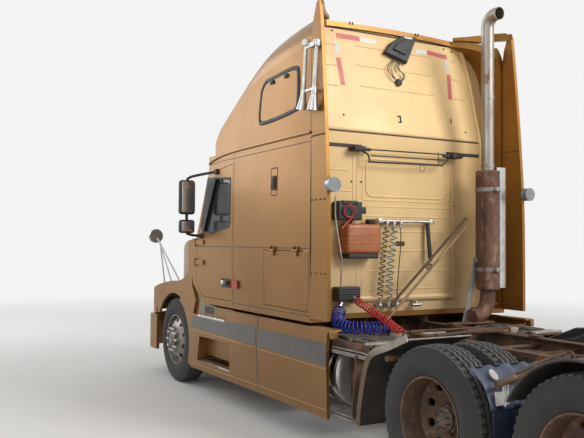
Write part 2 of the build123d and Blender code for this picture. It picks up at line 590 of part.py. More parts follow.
# Roof cap: a tall fairing that rises from the windscreen to the rear, hollow
# Along the cap: share of its length, then heights of crease, shoulder, edge and crown as shares of its rise
ROOF_STATIONS = ((0, 0.016, 0.04, 0.06, 0.09), (0.088, 0.041, 0.187, 0.26, 0.341),
                 (0.169, 0.203, 0.341, 0.407, 0.472), (0.279, 0.333, 0.504, 0.569, 0.626),
                 (0.372, 0.431, 0.618, 0.691, 0.732),
                 (0.47, 0.512, 0.732, 0.797, 0.837), (0.602, 0.569, 0.837, 0.894, 0.919),
                 (0.781, 0.626, 0.902, 0.963, 0.976), (1, 0.675, 0.939, 0.976, 1))
ROOF_STEPS = 16
ROOF_EDGE_SHARE = 0.67
ROOF_SHOULDER_SHARE = 0.837
# Rear edge of the cap's top, as distance from the cap's end and share of its half width
ROOF_REAR_EDGE = ((380, 0), (380, 0.67), (280, 0.753), (160, 0.837), (20, 0.912), (-10, 0.92))

def between(table, place):
    """Values between the rows of a table, on a curve that runs through each row along its neighbours' chord."""
    n = max(row for row in range(len(table) - 1) if table[row][0] <= place or row == 0)
    before, low, high, after = (table[min(max(row, 0), len(table) - 1)] for row in range(n - 1, n + 3))
    run = high[0] - low[0]
    share = (place - low[0]) / run
    result = []
    for first, start, end, last in list(zip(before, low, high, after))[1:]:
        start_slope = (end - first) / (high[0] - before[0]) * run
        end_slope = (last - start) / (after[0] - low[0]) * run
        result.append(start * (1 + 2 * share) * (1 - share) ** 2 + start_slope * share * (1 - share) ** 2
                      + end * share ** 2 * (3 - 2 * share) - end_slope * share ** 2 * (1 - share))
    return result

def roof_section(place, inset, low):
    """The cap's cross-section at a share of its length, brought in by inset."""
    length = SIDE_END_AFT - ROOF_FRONT_AFT
    heights = [EAVE_Z + share * (ROOF_TOP_Z - EAVE_Z) - inset for share in between(ROOF_STATIONS, place)]
    crease, shoulder, edge, crown = (max(z, low + 3 + 2 * n) for n, z in enumerate(heights))
    half = EAVE_HALF - inset
    out, up = ROOF_SHOULDER_SHARE * half, ROOF_EDGE_SHARE * half
    past = 1 if inset and place == 1 else 0
    with BuildSketch(Plane.YZ.offset(aft(ROOF_FRONT_AFT + place * length + past))) as face:
        with BuildLine():
            base = Line((-half, low), (half, low))
            side = Line(base @ 1, (half, crease))
            bend = ThreePointArc(side @ 1, (out, shoulder), (up, edge))
            top = ThreePointArc(bend @ 1, (0, crown), (-up, edge))
            other = ThreePointArc(top @ 1, (-out, shoulder), (-half, crease))
            Line(other @ 1, base @ 0)
        make_face()
    return face.sketch

def roof_solid(inset):
    """The roof cap's outer form, brought in by inset."""
    low = EAVE_Z + SEAT_GAP - (1 if inset > 0 else 0)
    rear = aft(SIDE_END_AFT) - 2
    with BuildPart() as cap:
        loft([roof_section(n / ROOF_STEPS, inset, low) for n in range(ROOF_STEPS + 1)], ruled=True)
        with BuildSketch(Plane.XY):
            with BuildLine():
                half = EAVE_HALF - inset
                front = aft(ROOF_FRONT_AFT) - inset
                side = Line((rear, half), (front - 380, half))
                bend = ThreePointArc(side @ 1, (front - 200, half - 70), (front - 90, half - 300))
                nose = ThreePointArc(bend @ 1, (front, 0), (front - 90, 300 - half))
                other = ThreePointArc(nose @ 1, (front - 200, 70 - half), (front - 380, -half))
                last = Line(other @ 1, (rear, -half))
                Line(last @ 1, side @ 0)
            make_face()
        extrude(amount=2 * EAVE_Z, mode=Mode.INTERSECT)
    return cap.part

def roof_hollow():
    """The space inside the roof cap, ending above the windscreen's head."""
    with BuildPart() as cavity:
        add(roof_solid(ROOF_WALL))
        block((aft(SCREEN_HEAD_AFT + SCREEN_FRAME), FRONT_X), (-EAVE_HALF, EAVE_HALF),
              (EAVE_Z - 10, EAVE_Z + ROOF_WALL), mode=Mode.SUBTRACT)
    return cavity.part

with BuildPart() as roof:
    add(roof_solid(0))
    add(roof_hollow(), mode=Mode.SUBTRACT)
    with BuildSketch(Plane.XY.offset(EAVE_Z - 10)) as rear_cut:
        with BuildLine():
            edge = [(aft(SIDE_END_AFT - ahead), share * EAVE_HALF) for ahead, share in ROOF_REAR_EDGE]
            Polyline(*edge, *[(x, -y) for x, y in reversed(edge[1:])], close=True)
        make_face()
    extrude(rear_cut.sketch, amount=EAVE_Z, mode=Mode.SUBTRACT)
finish(roof.part, "roof_cap")

# Rear wall: a panel between the side walls, upright to the eaves and then leaning forwards into the roof cap
WALL_PLATE = 80
LEAN_Z = EAVE_Z + 90
LEAN_RUN = 220
LEAN_TOP_Z = ROOF_TOP_Z - 30
with BuildPart() as rear_wall:
    inside = WALL + SEAT_GAP
    add(cab_prism(aft(SIDE_END_AFT), aft(SCREEN_HEAD_AFT), inside, FLOOR_Z + inside, EAVE_Z))
    add(roof_solid(ROOF_WALL + SEAT_GAP))
    with BuildSketch(Plane.XZ) as side_view:
        with BuildLine():
            back = [(REAR_WALL_AFT, FLOOR_Z), (REAR_WALL_AFT, LEAN_Z), (REAR_WALL_AFT - LEAN_RUN, LEAN_TOP_Z)]
            Polyline(*[(aft(distance), z) for distance, z in back],
                     *[(aft(distance - WALL_PLATE), z) for distance, z in reversed(back)], close=True)
        make_face()
    extrude(side_view.sketch, amount=CREASE_HALF, both=True, mode=Mode.INTERSECT)
finish(rear_wall.part, "rear_wall")

# Side extenders: thin panels behind the sleeper's sides, with a lip that runs in along the roof's rear edge
EXTENDER_WALL = 35
EXTENDER_FRONT_AFT = SIDE_END_AFT + SEAT_GAP
EXTENDER_BOTTOM = 1120
EXTENDER_OUTLINE = ((EXTENDER_FRONT_AFT, EXTENDER_BOTTOM), (EXTENDER_FRONT_AFT, 3570), (3483, 3742), (3499, 3849),
                    (3542, 3956), (3560, ROOF_TOP_Z), (3596, ROOF_TOP_Z), (3624, 3800), (3663, 3400),
                    (3700, 3000), (3744, 2400), (3757, 2000), (EXTENDER_END_AFT, 1500),
                    (EXTENDER_END_AFT, EXTENDER_BOTTOM))
# The lip in plan, as aft and distance out
LIP = ((3590, 1190), (3537, 1183), (3445, 1088), (3313, 999), (3186, 902), (3095, 810))
LIP_WALL = 25
LIP_DEPTH = 80
with BuildPart() as extenders:
    add(side_cut(EXTENDER_OUTLINE, 0, EAVE_HALF - EXTENDER_WALL, EAVE_HALF))
    with BuildSketch(Plane.XY.offset(ROOF_TOP_Z - LIP_DEPTH)) as lip:
        with BuildLine():
            outer = [(aft(distance), y) for distance, y in LIP]
            Polyline(*outer, *[(x - LIP_WALL, y - LIP_WALL) for x, y in reversed(outer)], close=True)
        make_face()
    extrude(lip.sketch, amount=LIP_DEPTH)
    with Locations(Plane(origin=(aft(EXTENDER_END_AFT), EAVE_HALF + 20, ROOF_TOP_Z + 20), z_dir=(1, 0, 0))):
        Box(130, 130, 800, rotation=(0, 0, 45), mode=Mode.SUBTRACT)
    add(roof_solid(-SEAT_GAP), mode=Mode.SUBTRACT)
    mirror(about=Plane.XZ)
finish(extenders.part, "side_extenders")

# Side skirts with two steps, on arms from the rails and the tank straps
TANK_R = 290
TANK_Y = RAIL_HALF + 80 + TANK_R
TANK_Z = 640
TANK_AFT = (2350, WHEELBASE - 1400)
TANK_STRAP_AFT = (2600, WHEELBASE - 1550)
TANK_BRACKET_TOP = 940
STRAP_THICK = 8
SKIRT_ARM_AFT = (1000, 1700, 2250)
SKIRT_ARCH_R = 570
SKIRT_END_AFT = 3818
SKIRT_TOP = 1050
TREAD_Z = 930
TREAD_AFT = (831, 1642)
TREAD_THICK = 37
SKIRT_OUTLINE = (*SHUT_LINE, (644, 1287), (770, 1101), (693, 937), (TREAD_AFT[0], TREAD_Z),
                 (TREAD_AFT[1], TREAD_Z), (1763, SKIRT_TOP), (SKIRT_END_AFT, SKIRT_TOP), (3770, 1005),
                 (3757, 744), (3778, SKIRT_BOTTOM), (636, SKIRT_BOTTOM), (0, AXLE_Z), (SHUT_LINE[0][0], 1000))
ARM_HALF = 25
ARM_Z = (820, 870)
# The set-back panel above the upper tread
PANEL_OUTLINE = ((652, 1270), (1000, SKIRT_TOP + 5), (1790, SKIRT_TOP + 5), (1790, TREAD_Z - TREAD_THICK),
                 (690, TREAD_Z - TREAD_THICK), (760, 1101), (640, 1260))
STEP_OPENING = ((835, 395), (1755, 385), (1755, 690), (900, 680))
STEP_AFT = (780, 1790)
STEP_Z = 385
STEP_THICK = 30
STEP_DEPTH = 220
with BuildPart() as skirts:
    add(side_cut(SKIRT_OUTLINE, 0, SKIRT_HALF - SKIRT_WALL, SKIRT_HALF))
    with Locations(Plane(origin=(FRONT_X, SKIRT_HALF - 2 * SKIRT_WALL, AXLE_Z), z_dir=(0, 1, 0))):
        Cylinder(SKIRT_ARCH_R, 3 * SKIRT_WALL, align=(C, C, MIN), mode=Mode.SUBTRACT)
    add(side_cut(STEP_OPENING, 0, SKIRT_HALF - SKIRT_WALL - 1, SKIRT_HALF + 1), mode=Mode.SUBTRACT)
    add(side_cut(PANEL_OUTLINE, 0, SKIRT_HALF - 2 * SKIRT_WALL, SKIRT_HALF - SKIRT_WALL))
    block((aft(TREAD_AFT[1]), aft(TREAD_AFT[0])), (SKIRT_HALF - 4 * SKIRT_WALL, SKIRT_HALF),
          (TREAD_Z - TREAD_THICK, TREAD_Z))
    inner = SKIRT_HALF - SKIRT_WALL
    block((aft(STEP_AFT[1]), aft(STEP_AFT[0])), (inner - STEP_DEPTH, inner), (STEP_Z - STEP_THICK, STEP_Z))
    block((aft(STEP_AFT[1]), aft(STEP_AFT[0])), (inner - STEP_DEPTH - 20, inner - STEP_DEPTH),
          (STEP_Z - STEP_THICK, 760))
    for distance in SKIRT_ARM_AFT:
        block((aft(distance) - ARM_HALF, aft(distance) + ARM_HALF), (RAIL_HALF + SEAT_GAP, inner), ARM_Z)
    for distance in TANK_STRAP_AFT:
        block((aft(distance) - ARM_HALF, aft(distance) + ARM_HALF),
              (TANK_Y + TANK_R + STRAP_THICK + SEAT_GAP, inner), (TANK_Z - ARM_HALF, TANK_Z + ARM_HALF))
    mirror(about=Plane.XZ)
finish(skirts.part, "side_skirts")

# Fuel tanks: round barrels along the rails, each in two straps
STRAP_WIDTH = 70
TANK_BRACKET = 30
with BuildPart() as tanks:
    rod((aft(TANK_AFT[1]), TANK_Y, TANK_Z), (aft(TANK_AFT[0]), TANK_Y, TANK_Z), TANK_R)
    for distance in TANK_STRAP_AFT:
        x = (aft(distance) - STRAP_WIDTH / 2, aft(distance) + STRAP_WIDTH / 2)
        rod((x[0], TANK_Y, TANK_Z), (x[1], TANK_Y, TANK_Z), TANK_R + STRAP_THICK)
        inner, low = RAIL_HALF + SEAT_GAP, TANK_Z - TANK_R - TANK_BRACKET
        block(x, (inner, TANK_Y - TANK_R + TANK_BRACKET), (TANK_Z - 200, TANK_BRACKET_TOP))
        block(x, (inner, TANK_Y), (low, TANK_Z - TANK_R))
        block(x, (inner, RAIL_HALF + 50), (low, TANK_BRACKET_TOP))
    mirror(about=Plane.XZ)
finish(tanks.part, "fuel_tanks")

# Exhaust: muffler and stack on the right, on an arm from the rail
STACK_Y = -833
STACK_AFT = 3600
STACK_R = 65
MUFFLER_R = 122
MUFFLER_Z = (1330, 2560)
STACK_TOP = 4140
STACK_MOUTH = 170
STACK_BEND_R = 120
STACK_WALL = 5
with BuildPart() as exhaust:
    block((aft(STACK_AFT) - 60, aft(STACK_AFT) + 60), (STACK_Y - 60, RAIL_FLANGE - RAIL_HALF),
          (RAIL_TOP + SEAT_GAP, RAIL_TOP + 40))
    with BuildLine() as path:
        x = aft(STACK_AFT)
        FilletPolyline((x, STACK_Y, RAIL_TOP + 20), (x, STACK_Y, STACK_TOP),
                       (x - STACK_MOUTH, STACK_Y, STACK_TOP), radius=STACK_BEND_R)
    with BuildSketch(Plane(origin=path.line @ 0, z_dir=path.line % 0)):
        Circle(STACK_R)
    sweep()
    with Locations(Plane(origin=path.line @ 1, z_dir=path.line % 1)):
        Cylinder(STACK_R - STACK_WALL, 300, mode=Mode.SUBTRACT)
    rod((aft(STACK_AFT), STACK_Y, MUFFLER_Z[0]), (aft(STACK_AFT), STACK_Y, MUFFLER_Z[1]), MUFFLER_R)
finish(exhaust.part, "exhaust_stack")


# Front axle: a dropped beam on two leaf springs
KINGPIN_Y = FRONT_TRACK / 2 - KINGPIN_INBOARD
KINGPIN_R = 22
KNUCKLE_BORE_R = KINGPIN_R + PIN_GAP
EYE_R = 52
EYE_HALF = 60
EAR_GAP = 2
EAR_HEIGHT = 45
SPRING_Y = RAIL_HALF - RAIL_FLANGE / 2
SPRING_HALF = 40
LEAF_THICK = 22
SHACKLE_AHEAD = 680
with BuildPart() as front_axle:
    block((FRONT_X - 55, FRONT_X + 55), (-600, 600), (AXLE_Z - 130, AXLE_Z - 40))
    for side in (-1, 1):
        rod((FRONT_X, side * 590, AXLE_Z - 85), (FRONT_X, side * KINGPIN_Y, AXLE_Z), 42)
        with Locations((FRONT_X, side * KINGPIN_Y, AXLE_Z)):
            Cylinder(EYE_R, 2 * EYE_HALF)
            Cylinder(KINGPIN_R, 2 * (EYE_HALF + EAR_HEIGHT + 5))
        y = (side * SPRING_Y - SPRING_HALF, side * SPRING_Y + SPRING_HALF)
        for n, reach in enumerate((700, 520, 340)):
            low = AXLE_Z - 40 + n * LEAF_THICK
            block((FRONT_X - reach, FRONT_X + reach), y, (low, low + LEAF_THICK))
        for x in (FRONT_X - SHACKLE_AHEAD, FRONT_X + SHACKLE_AHEAD):
            block((x - 30, x + 30), y, (AXLE_Z - 20, RAIL_BOTTOM - SEAT_GAP))
finish(front_axle.part, "front_axle")

# Knuckles: a fork round each kingpin with its spindle and steering arm
SPINDLE_R = 42
HUB_BORE_R = SPINDLE_R + PIN_GAP
FRONT_WHEEL_Y = FRONT_TRACK / 2
ARM_REACH = 260
BALL_Y = KINGPIN_Y
STUD_R = 10
KNUCKLE_HALF = 50
KNUCKLE_OUT = 90
with BuildPart() as knuckle:
    for side in (-1, 1):
        with Locations((FRONT_X, KINGPIN_Y, AXLE_Z + side * (EYE_HALF + EAR_GAP + EAR_HEIGHT / 2))):
            Cylinder(EYE_R, EAR_HEIGHT)
    ear_top = EYE_HALF + EAR_GAP + EAR_HEIGHT
    x, y = (FRONT_X - KNUCKLE_HALF, FRONT_X + KNUCKLE_HALF), (KINGPIN_Y, KINGPIN_Y + KNUCKLE_OUT)
    for side in (-1, 1):
        block(x, y, sorted((AXLE_Z + side * (EYE_HALF + EAR_GAP), AXLE_Z + side * ear_top)))
    block(x, (KINGPIN_Y + EYE_R + 8, y[1]), (AXLE_Z - ear_top, AXLE_Z + ear_top))
    rod((FRONT_X, y[1] - 10, AXLE_Z), (FRONT_X, FRONT_WHEEL_Y + 128, AXLE_Z), SPINDLE_R)
    ball_x, arm_z = FRONT_X - ARM_REACH, AXLE_Z - ear_top
    block((ball_x - 25, FRONT_X - KNUCKLE_HALF + 5), (BALL_Y - 25, BALL_Y + 25), (arm_z, arm_z + 30))
    rod((ball_x, BALL_Y, arm_z + 10), (ball_x, BALL_Y, arm_z - 50), STUD_R)
    with Locations((FRONT_X, KINGPIN_Y, AXLE_Z)):
        Cylinder(KNUCKLE_BORE_R, 2 * ear_top + 20, mode=Mode.SUBTRACT)
both_sides(knuckle.part, "knuckle")

# Tie rod: joins the two steering arms
TIE_Z = AXLE_Z - ear_top - 30
with BuildPart() as tie_rod:
    rod((ball_x, -BALL_Y, TIE_Z), (ball_x, BALL_Y, TIE_Z), 20)
    for side in (-1, 1):
        with Locations((ball_x, side * BALL_Y, TIE_Z)):
            Cylinder(26, 2 * 28)
            Cylinder(STUD_R + PIN_GAP, 2 * 30, mode=Mode.SUBTRACT)
finish(tie_rod.part, "tie_rod")

# Tyres and rims
TYRE_OUTLINE = ((-RIM_WIDTH / 2, BEAD_R + SEAT_GAP), (-TYRE_WIDTH / 2, 430), (-TREAD_WIDTH / 2, 528),
                (-60, TYRE_R), (60, TYRE_R), (TREAD_WIDTH / 2, 528), (TYRE_WIDTH / 2, 430),
                (RIM_WIDTH / 2, BEAD_R + SEAT_GAP))
BARREL_OUTLINE = ((-RIM_WIDTH / 2 - 12, RIM_LIP_R), (-RIM_WIDTH / 2, BEAD_R), (RIM_WIDTH / 2, BEAD_R),
                  (RIM_WIDTH / 2 + 12, RIM_LIP_R), (RIM_WIDTH / 2 + 12, BEAD_R - 6),
                  (RIM_WIDTH / 2 - 10, BEAD_R - RIM_WALL), (10 - RIM_WIDTH / 2, BEAD_R - RIM_WALL),
                  (-RIM_WIDTH / 2 - 12, BEAD_R - 6))

with BuildPart() as front_tyre:
    wheel_ring(FRONT_X, FRONT_WHEEL_Y, TYRE_OUTLINE)
both_sides(front_tyre.part, "front_tyre")

# Rings of a front wheel: dish, hub, hub cap and brake drum, as distance outwards from its middle and radius
HUB_R = 110
DISC_R = 180
FRONT_DISC = 135
DRUM_R = 205
FRONT_RINGS = (((60, BEAD_R - 6), (FRONT_DISC, DISC_R), (FRONT_DISC, HUB_BORE_R), (FRONT_DISC - 20, HUB_BORE_R),
                (FRONT_DISC - 20, DISC_R - 10), (40, BEAD_R - 6)),
               ((-60, HUB_BORE_R), (-60, HUB_R), (120, HUB_R), (120, HUB_BORE_R)),
               ((FRONT_DISC, 0), (FRONT_DISC, 95), (FRONT_DISC + 55, 90), (FRONT_DISC + 55, 0)),
               ((-75, 90), (-75, DRUM_R), (70, DRUM_R), (70, DRUM_R - 15), (-60, DRUM_R - 15), (-60, 90)))
with BuildPart() as front_rim:
    for outline_points in (BARREL_OUTLINE, *FRONT_RINGS):
        wheel_ring(FRONT_X, FRONT_WHEEL_Y, outline_points)
both_sides(front_rim.part, "front_rim")

# Drive axles: housings with trailing beams and air springs
DUAL_Y = DUAL_TRACK / 2
HOUSING_HALF = 600
HOUSING_R = 65
DIFFERENTIAL_R = 185
BEAM_Z = (AXLE_Z - 110, AXLE_Z - 50)
AIR_SPRING_R = 110
AIR_SPRING_BACK = 320
with BuildPart() as drive_axles:
    for x in DRIVE_X:
        rod((x, -HOUSING_HALF, AXLE_Z), (x, HOUSING_HALF, AXLE_Z), HOUSING_R)
        rod((x - 60, 0, AXLE_Z), (x + 170, 0, AXLE_Z), DIFFERENTIAL_R)
        for side in (-1, 1):
            rod((x, side * (HOUSING_HALF - 10), AXLE_Z), (x, side * (DUAL_Y + 112), AXLE_Z), SPINDLE_R)
            y = (side * SPRING_Y - SPRING_HALF, side * SPRING_Y + SPRING_HALF)
            block((x - 420, x + 480), y, BEAM_Z)
            block((x + 430, x + 490), y, (BEAM_Z[0], RAIL_BOTTOM - SEAT_GAP))
            with Locations((x - AIR_SPRING_BACK, side * SPRING_Y, BEAM_Z[1])):
                Cylinder(AIR_SPRING_R, RAIL_BOTTOM - SEAT_GAP - BEAM_Z[1], align=(C, C, MIN))
finish(drive_axles.part, "drive_axles")

# Rings between a pair of rims: the outer dish, the inner dish, the drum and the hub cap
DUAL_RINGS = (((120, BEAD_R - 6), (20, DISC_R), (20, HUB_BORE_R), (0, HUB_BORE_R), (0, DISC_R),
               (90, BEAD_R - 6)),
              ((-120, BEAD_R - 6), (-20, DISC_R), (-20, HUB_BORE_R), (0, HUB_BORE_R), (0, DISC_R),
               (-90, BEAD_R - 6)),
              ((-230, HUB_BORE_R), (-230, HUB_R), (120, HUB_R), (120, HUB_BORE_R)),
              ((120, 0), (120, 90), (150, 85), (150, 0)))
for number, x in enumerate(DRIVE_X, start=1):
    with BuildPart() as pair:
        for y in (DUAL_Y + DUAL_SPACING / 2, DUAL_Y - DUAL_SPACING / 2):
            wheel_ring(x, y, TYRE_OUTLINE)
    both_sides(pair.part, f"drive_tyres_{number}")
    with BuildPart() as rims:
        for side in (-1, 1):
            wheel_ring(x, DUAL_Y + side * DUAL_SPACING / 2, BARREL_OUTLINE)
        for outline_points in DUAL_RINGS:
            wheel_ring(x, DUAL_Y, outline_points)
    both_sides(rims.part, f"drive_rims_{number}")


# Mudguards: curved bands round the drive wheels on tubes from the rails
GUARD_GAP = 70
GUARD_WALL = 8
GUARD_Y = (590, 1225)
GUARD_TUBE_R = 24
GUARD_FOOT_Y = 560
# Axle number, start and end of the arc in degrees above the forward direction
GUARD_ARCS = ((0, 2, 62), (0, 112, 162), (1, 28, 178))
with BuildPart() as guards:
    for number, start, end in GUARD_ARCS:
        x = DRIVE_X[number]
        radius = TYRE_R + GUARD_GAP
        with BuildSketch(Plane.XZ.offset(-GUARD_Y[1])):
            with BuildLine():
                outer = CenterArc((x, AXLE_Z), radius + GUARD_WALL, start, end - start)
                inner = CenterArc((x, AXLE_Z), radius, start, end - start)
                Line(outer @ 0, inner @ 0)
                Line(outer @ 1, inner @ 1)
            make_face()
        extrude(amount=GUARD_Y[1] - GUARD_Y[0])
        angle = radians(60 if start < 20 else 120)
        out = radius + GUARD_WALL / 2 + GUARD_TUBE_R
        tube_x, tube_z = x + out * cos(angle), AXLE_Z + out * sin(angle)
        rod((tube_x, GUARD_Y[1] - 40, tube_z), (tube_x, GUARD_FOOT_Y, tube_z), GUARD_TUBE_R)
        rod((tube_x, GUARD_FOOT_Y, tube_z), (tube_x, GUARD_FOOT_Y - 15, RAIL_TOP - 60), GUARD_TUBE_R)
        block((tube_x - 40, tube_x + 40), (RAIL_HALF + SEAT_GAP, GUARD_FOOT_Y + 20),
              (RAIL_TOP - 120, RAIL_TOP - 40))
    mirror(about=Plane.XZ)
finish(guards.part, "mudguards")

# Deck plates beside the rails behind the cab, over the tanks' ends
DECK_AFT = (3480, 4300)
DECK_Z = 962
DECK_PLATE = 12
DECK_HALF = 1130
with BuildPart() as deck:
    x = (aft(DECK_AFT[1]), aft(DECK_AFT[0]))
    block(x, (RAIL_HALF + SEAT_GAP, DECK_HALF), (DECK_Z - DECK_PLATE, DECK_Z))
    block(x, (DECK_HALF - 8, DECK_HALF), (DECK_Z - 60, DECK_Z))
    mirror(about=Plane.XZ)
finish(deck.part, "deck_plates")

# Air horns: two trumpets with their bells down beside the left extender
# Top, neck and bell of each, as aft and height
HORNS = (((3471, 3601), (3432, 3178), (3400, 3018)), ((3656, 3560), (3617, 3148), (3590, 2987)))
HORN_Y = CREASE_HALF + 55
HORN_STRAP_Z = 3180
with BuildPart() as horns:
    for top, neck, bell in HORNS:
        top, neck, bell = [(aft(distance), HORN_Y, z) for distance, z in (top, neck, bell)]
        taper(top, neck, 15, 20)
        taper(neck, bell, 20, 52)
        rod((neck[0], HORN_Y, neck[2] - 14), (neck[0], HORN_Y, neck[2] + 14), 26)
        rod((top[0], HORN_Y, top[2] - 10), (top[0], HORN_Y, top[2] + 45), 32)
    block((aft(HORNS[1][0][0]) - 20, aft(HORNS[0][0][0]) + 20), (HORN_Y - 8, HORN_Y + 8), (3560, 3600))
    block((aft(3640), aft(3440)), (HORN_Y - 6, HORN_Y + 6), (HORN_STRAP_Z - 10, HORN_STRAP_Z + 10))
    for distance, z in ((3520, 3580), (3520, HORN_STRAP_Z)):
        block((aft(distance) - 20, aft(distance) + 20), (EAVE_HALF + SEAT_GAP, HORN_Y), (z - 10, z + 10))
finish(horns.part, "air_horns")

# Work lights on the extenders' rear edges
LIGHT_Z = 2310
LIGHT_R = 66
with BuildPart() as lights:
    y = EAVE_HALF - EXTENDER_WALL / 2
    edge = aft(EXTENDER_END_AFT - 15) - SEAT_GAP
    block((edge - 40, edge), (y - 12, y + 12), (LIGHT_Z - 15, LIGHT_Z + 15))
    rod((edge - 100, y, LIGHT_Z), (edge - 35, y, LIGHT_Z), LIGHT_R)
    mirror(about=Plane.XZ)
finish(lights.part, "work_lights")

# Air and electric lines: a tube of the coil's outer radius along a chosen route, with a fitting at each end
# Name, outer radius, route from the wall to its far end
CORDS = (
    ("cord_red", 35, ((-345, 655, 1268), (-440, 650, 1236), (-600, 642, 1180), (-800, 640, 1118),
                      (-970, 648, 1060), (-1100, 660, 1015))),
    ("cord_blue", 70, ((-294, 795, 1208), (-322, 832, 1134), (-400, 900, 1080), (-520, 900, 1040),
                       (-640, 800, 1034), (-690, 660, 1034), (-690, 540, 1034))),
    ("cord_black", 25, ((-283, 250, 1975), (-285, 258, 1880), (-290, 290, 1740), (-293, 304, 1590),
                        (-291, 324, 1440), (-288, 330, 1320), (-288, 330, 1240))),
    ("cord_teal", 36, ((-292, 165, 1975), (-295, 170, 1880), (-298, 192, 1750), (-298, 214, 1600),
                       (-295, 220, 1440), (-292, 230, 1320), (-292, 230, 1240))),
    ("cord_plain", 7, ((-281, 80, 1975), (-285, 76, 1890), (-290, 84, 1760), (-294, 104, 1610),
                       (-292, 118, 1450), (-288, 126, 1330), (-288, 126, 1240))),
)
CORNER_SHARE = 0.45
CORD_ROUTES = {name: route for name, _, route in CORDS}

def corner_radii(route):
    """The largest arc that the two runs at each corner of a route leave room for."""
    runs = [Vector(*end) - Vector(*start) for start, end in zip(route, route[1:])]
    return [CORNER_SHARE * min(first.length, second.length) / tan(radians(first.get_angle(second) / 2))
            for first, second in zip(runs, runs[1:])]

def cord_end(place, following, reach, radius):
    """A round fitting that a cord's end meets face to face, reaching back from the end."""
    back = (Vector(*place) - Vector(*following)).normalized() * reach
    rod(place, tuple(Vector(*place) + back), radius)

for name, radius, route in CORDS:
    radii = corner_radii(route)
    print(name, "arc radii", [round(size) for size in radii])
    with BuildPart() as cord:
        with BuildLine() as path:
            FilletPolyline(*route, radius=radii)
        with BuildSketch(Plane(origin=path.line @ 0, z_dir=path.line % 0)):
            Circle(radius)
        sweep()
    finish(cord.part, name)

# Couplings that hold the lower ends of the red and blue lines, on feet on the left deck plate
COUPLING_R = 26
with BuildPart() as couplings:
    for name, x, y in (("cord_red", (-1170, -1125), (640, 690)), ("cord_blue", (-715, -665), (470, 520))):
        route = CORD_ROUTES[name]
        cord_end(route[-1], route[-2], 70, COUPLING_R)
        block(x, y, (DECK_Z + SEAT_GAP, route[-1][2] - 10))
finish(couplings.part, "line_couplings")

# Hose rail across the rear wall
WALL_FACE = aft(REAR_WALL_AFT) - SEAT_GAP
RAIL_BAR_Z = 2690
RAIL_BAR_Y = (-620, 600)
with BuildPart() as hose_rail:
    for y in RAIL_BAR_Y:
        block((WALL_FACE - 110, WALL_FACE), (y - 20, y + 20), (RAIL_BAR_Z - 25, RAIL_BAR_Z + 25))
    rod((WALL_FACE - 90, RAIL_BAR_Y[0], RAIL_BAR_Z), (WALL_FACE - 90, RAIL_BAR_Y[1], RAIL_BAR_Z), 12)
finish(hose_rail.part, "hose_rail")

# Fittings on the rear wall: hose box, washer tank, line box and grab rail
# Height and width limits on the wall and depth of each
FITTINGS = (("hose box", (520, 800), (2010, 2200), 120), ("washer tank", (380, 770), (1700, 1995), 170),
            ("line box", (580, 830), (1255, 1385), 110))
GRAB_Y = (-336, 286)
GRAB_Z = 2020
GRAB_R = 14
with BuildPart() as fittings:
    for _, y, z, depth in FITTINGS:
        block((WALL_FACE - depth, WALL_FACE), y, z)
    out, low = WALL_FACE - 70, GRAB_Z - 386
    rod((out, GRAB_Y[0] - GRAB_R, GRAB_Z), (out, GRAB_Y[1] + GRAB_R, GRAB_Z), GRAB_R)
    for y in GRAB_Y:
        rod((out, y, GRAB_Z), (WALL_FACE, y, GRAB_Z), GRAB_R)
    rod((out, GRAB_Y[0], GRAB_Z), (out, GRAB_Y[0], low - GRAB_R), GRAB_R)
    rod((out, GRAB_Y[0], low), (WALL_FACE, GRAB_Y[0], low), GRAB_R)
    for name, reach in (("cord_red", 45), ("cord_blue", 60)):
        cord_end(CORD_ROUTES[name][0], CORD_ROUTES[name][1], reach, 22)
    for name in ("cord_black", "cord_teal", "cord_plain"):
        top, low = CORD_ROUTES[name][0], CORD_ROUTES[name][-1]
        cord_end(top, CORD_ROUTES[name][1], 45, 12)
        rod(low, (low[0], low[1], low[2] - 45), 18)
        block((low[0] - 18, WALL_FACE), (low[1] - 18, low[1] + 18), (low[2] - 60, low[2] - 25))
finish(fittings.part, "wall_fittings")

# Seats, seen through the glass: a base, a cushion and a leaning back
SEAT_Y = (380, 880)
SEAT_Z = (1480, 1600)
SEAT_BACK = ((1660, SEAT_Z[1] - 10), (1760, SEAT_Z[1] - 10), (1830, 2300), (1740, 2300))
with BuildPart() as seats:
    block((aft(1720), aft(1280)), SEAT_Y, (FLOOR_Z + WALL + SEAT_GAP, SEAT_Z[0]))
    block((aft(1760), aft(1240)), (SEAT_Y[0] - 10, SEAT_Y[1] + 10), SEAT_Z)
    add(side_cut(SEAT_BACK, 0, *SEAT_Y))
    mirror(about=Plane.XZ)
finish(seats.part, "seats")

# Dashboard with the steering wheel
DASH_FRONT_AFT = COWL_AFT + WALL + SEAT_GAP
DASH_HALF = 1040
DASH_OUTLINE = ((DASH_FRONT_AFT, 1400), (DASH_FRONT_AFT, 1765), (880, 1780), (1060, 1690), (1010, 1400))
STEERING_WHEEL = (aft(1080), sum(SEAT_Y) / 2, 1740)
STEERING_R = 220
with BuildPart() as dash:
    add(side_cut(DASH_OUTLINE, 0, -DASH_HALF, DASH_HALF))
    rod((aft(930), STEERING_WHEEL[1], 1650), STEERING_WHEEL, 30)
    with Locations(Plane(origin=STEERING_WHEEL, z_dir=(-200, 0, 120))):
        Torus(STEERING_R, 16)
        Box(2 * STEERING_R - 20, 40, 14)
finish(dash.part, "dashboard")
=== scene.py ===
"""Finish for a conventional semi truck tractor with a high-roof sleeper, built over its solid model.

Metres. X points forward, Y to the driver's left, Z up, with the origin on the ground under the middle of the truck.
"""

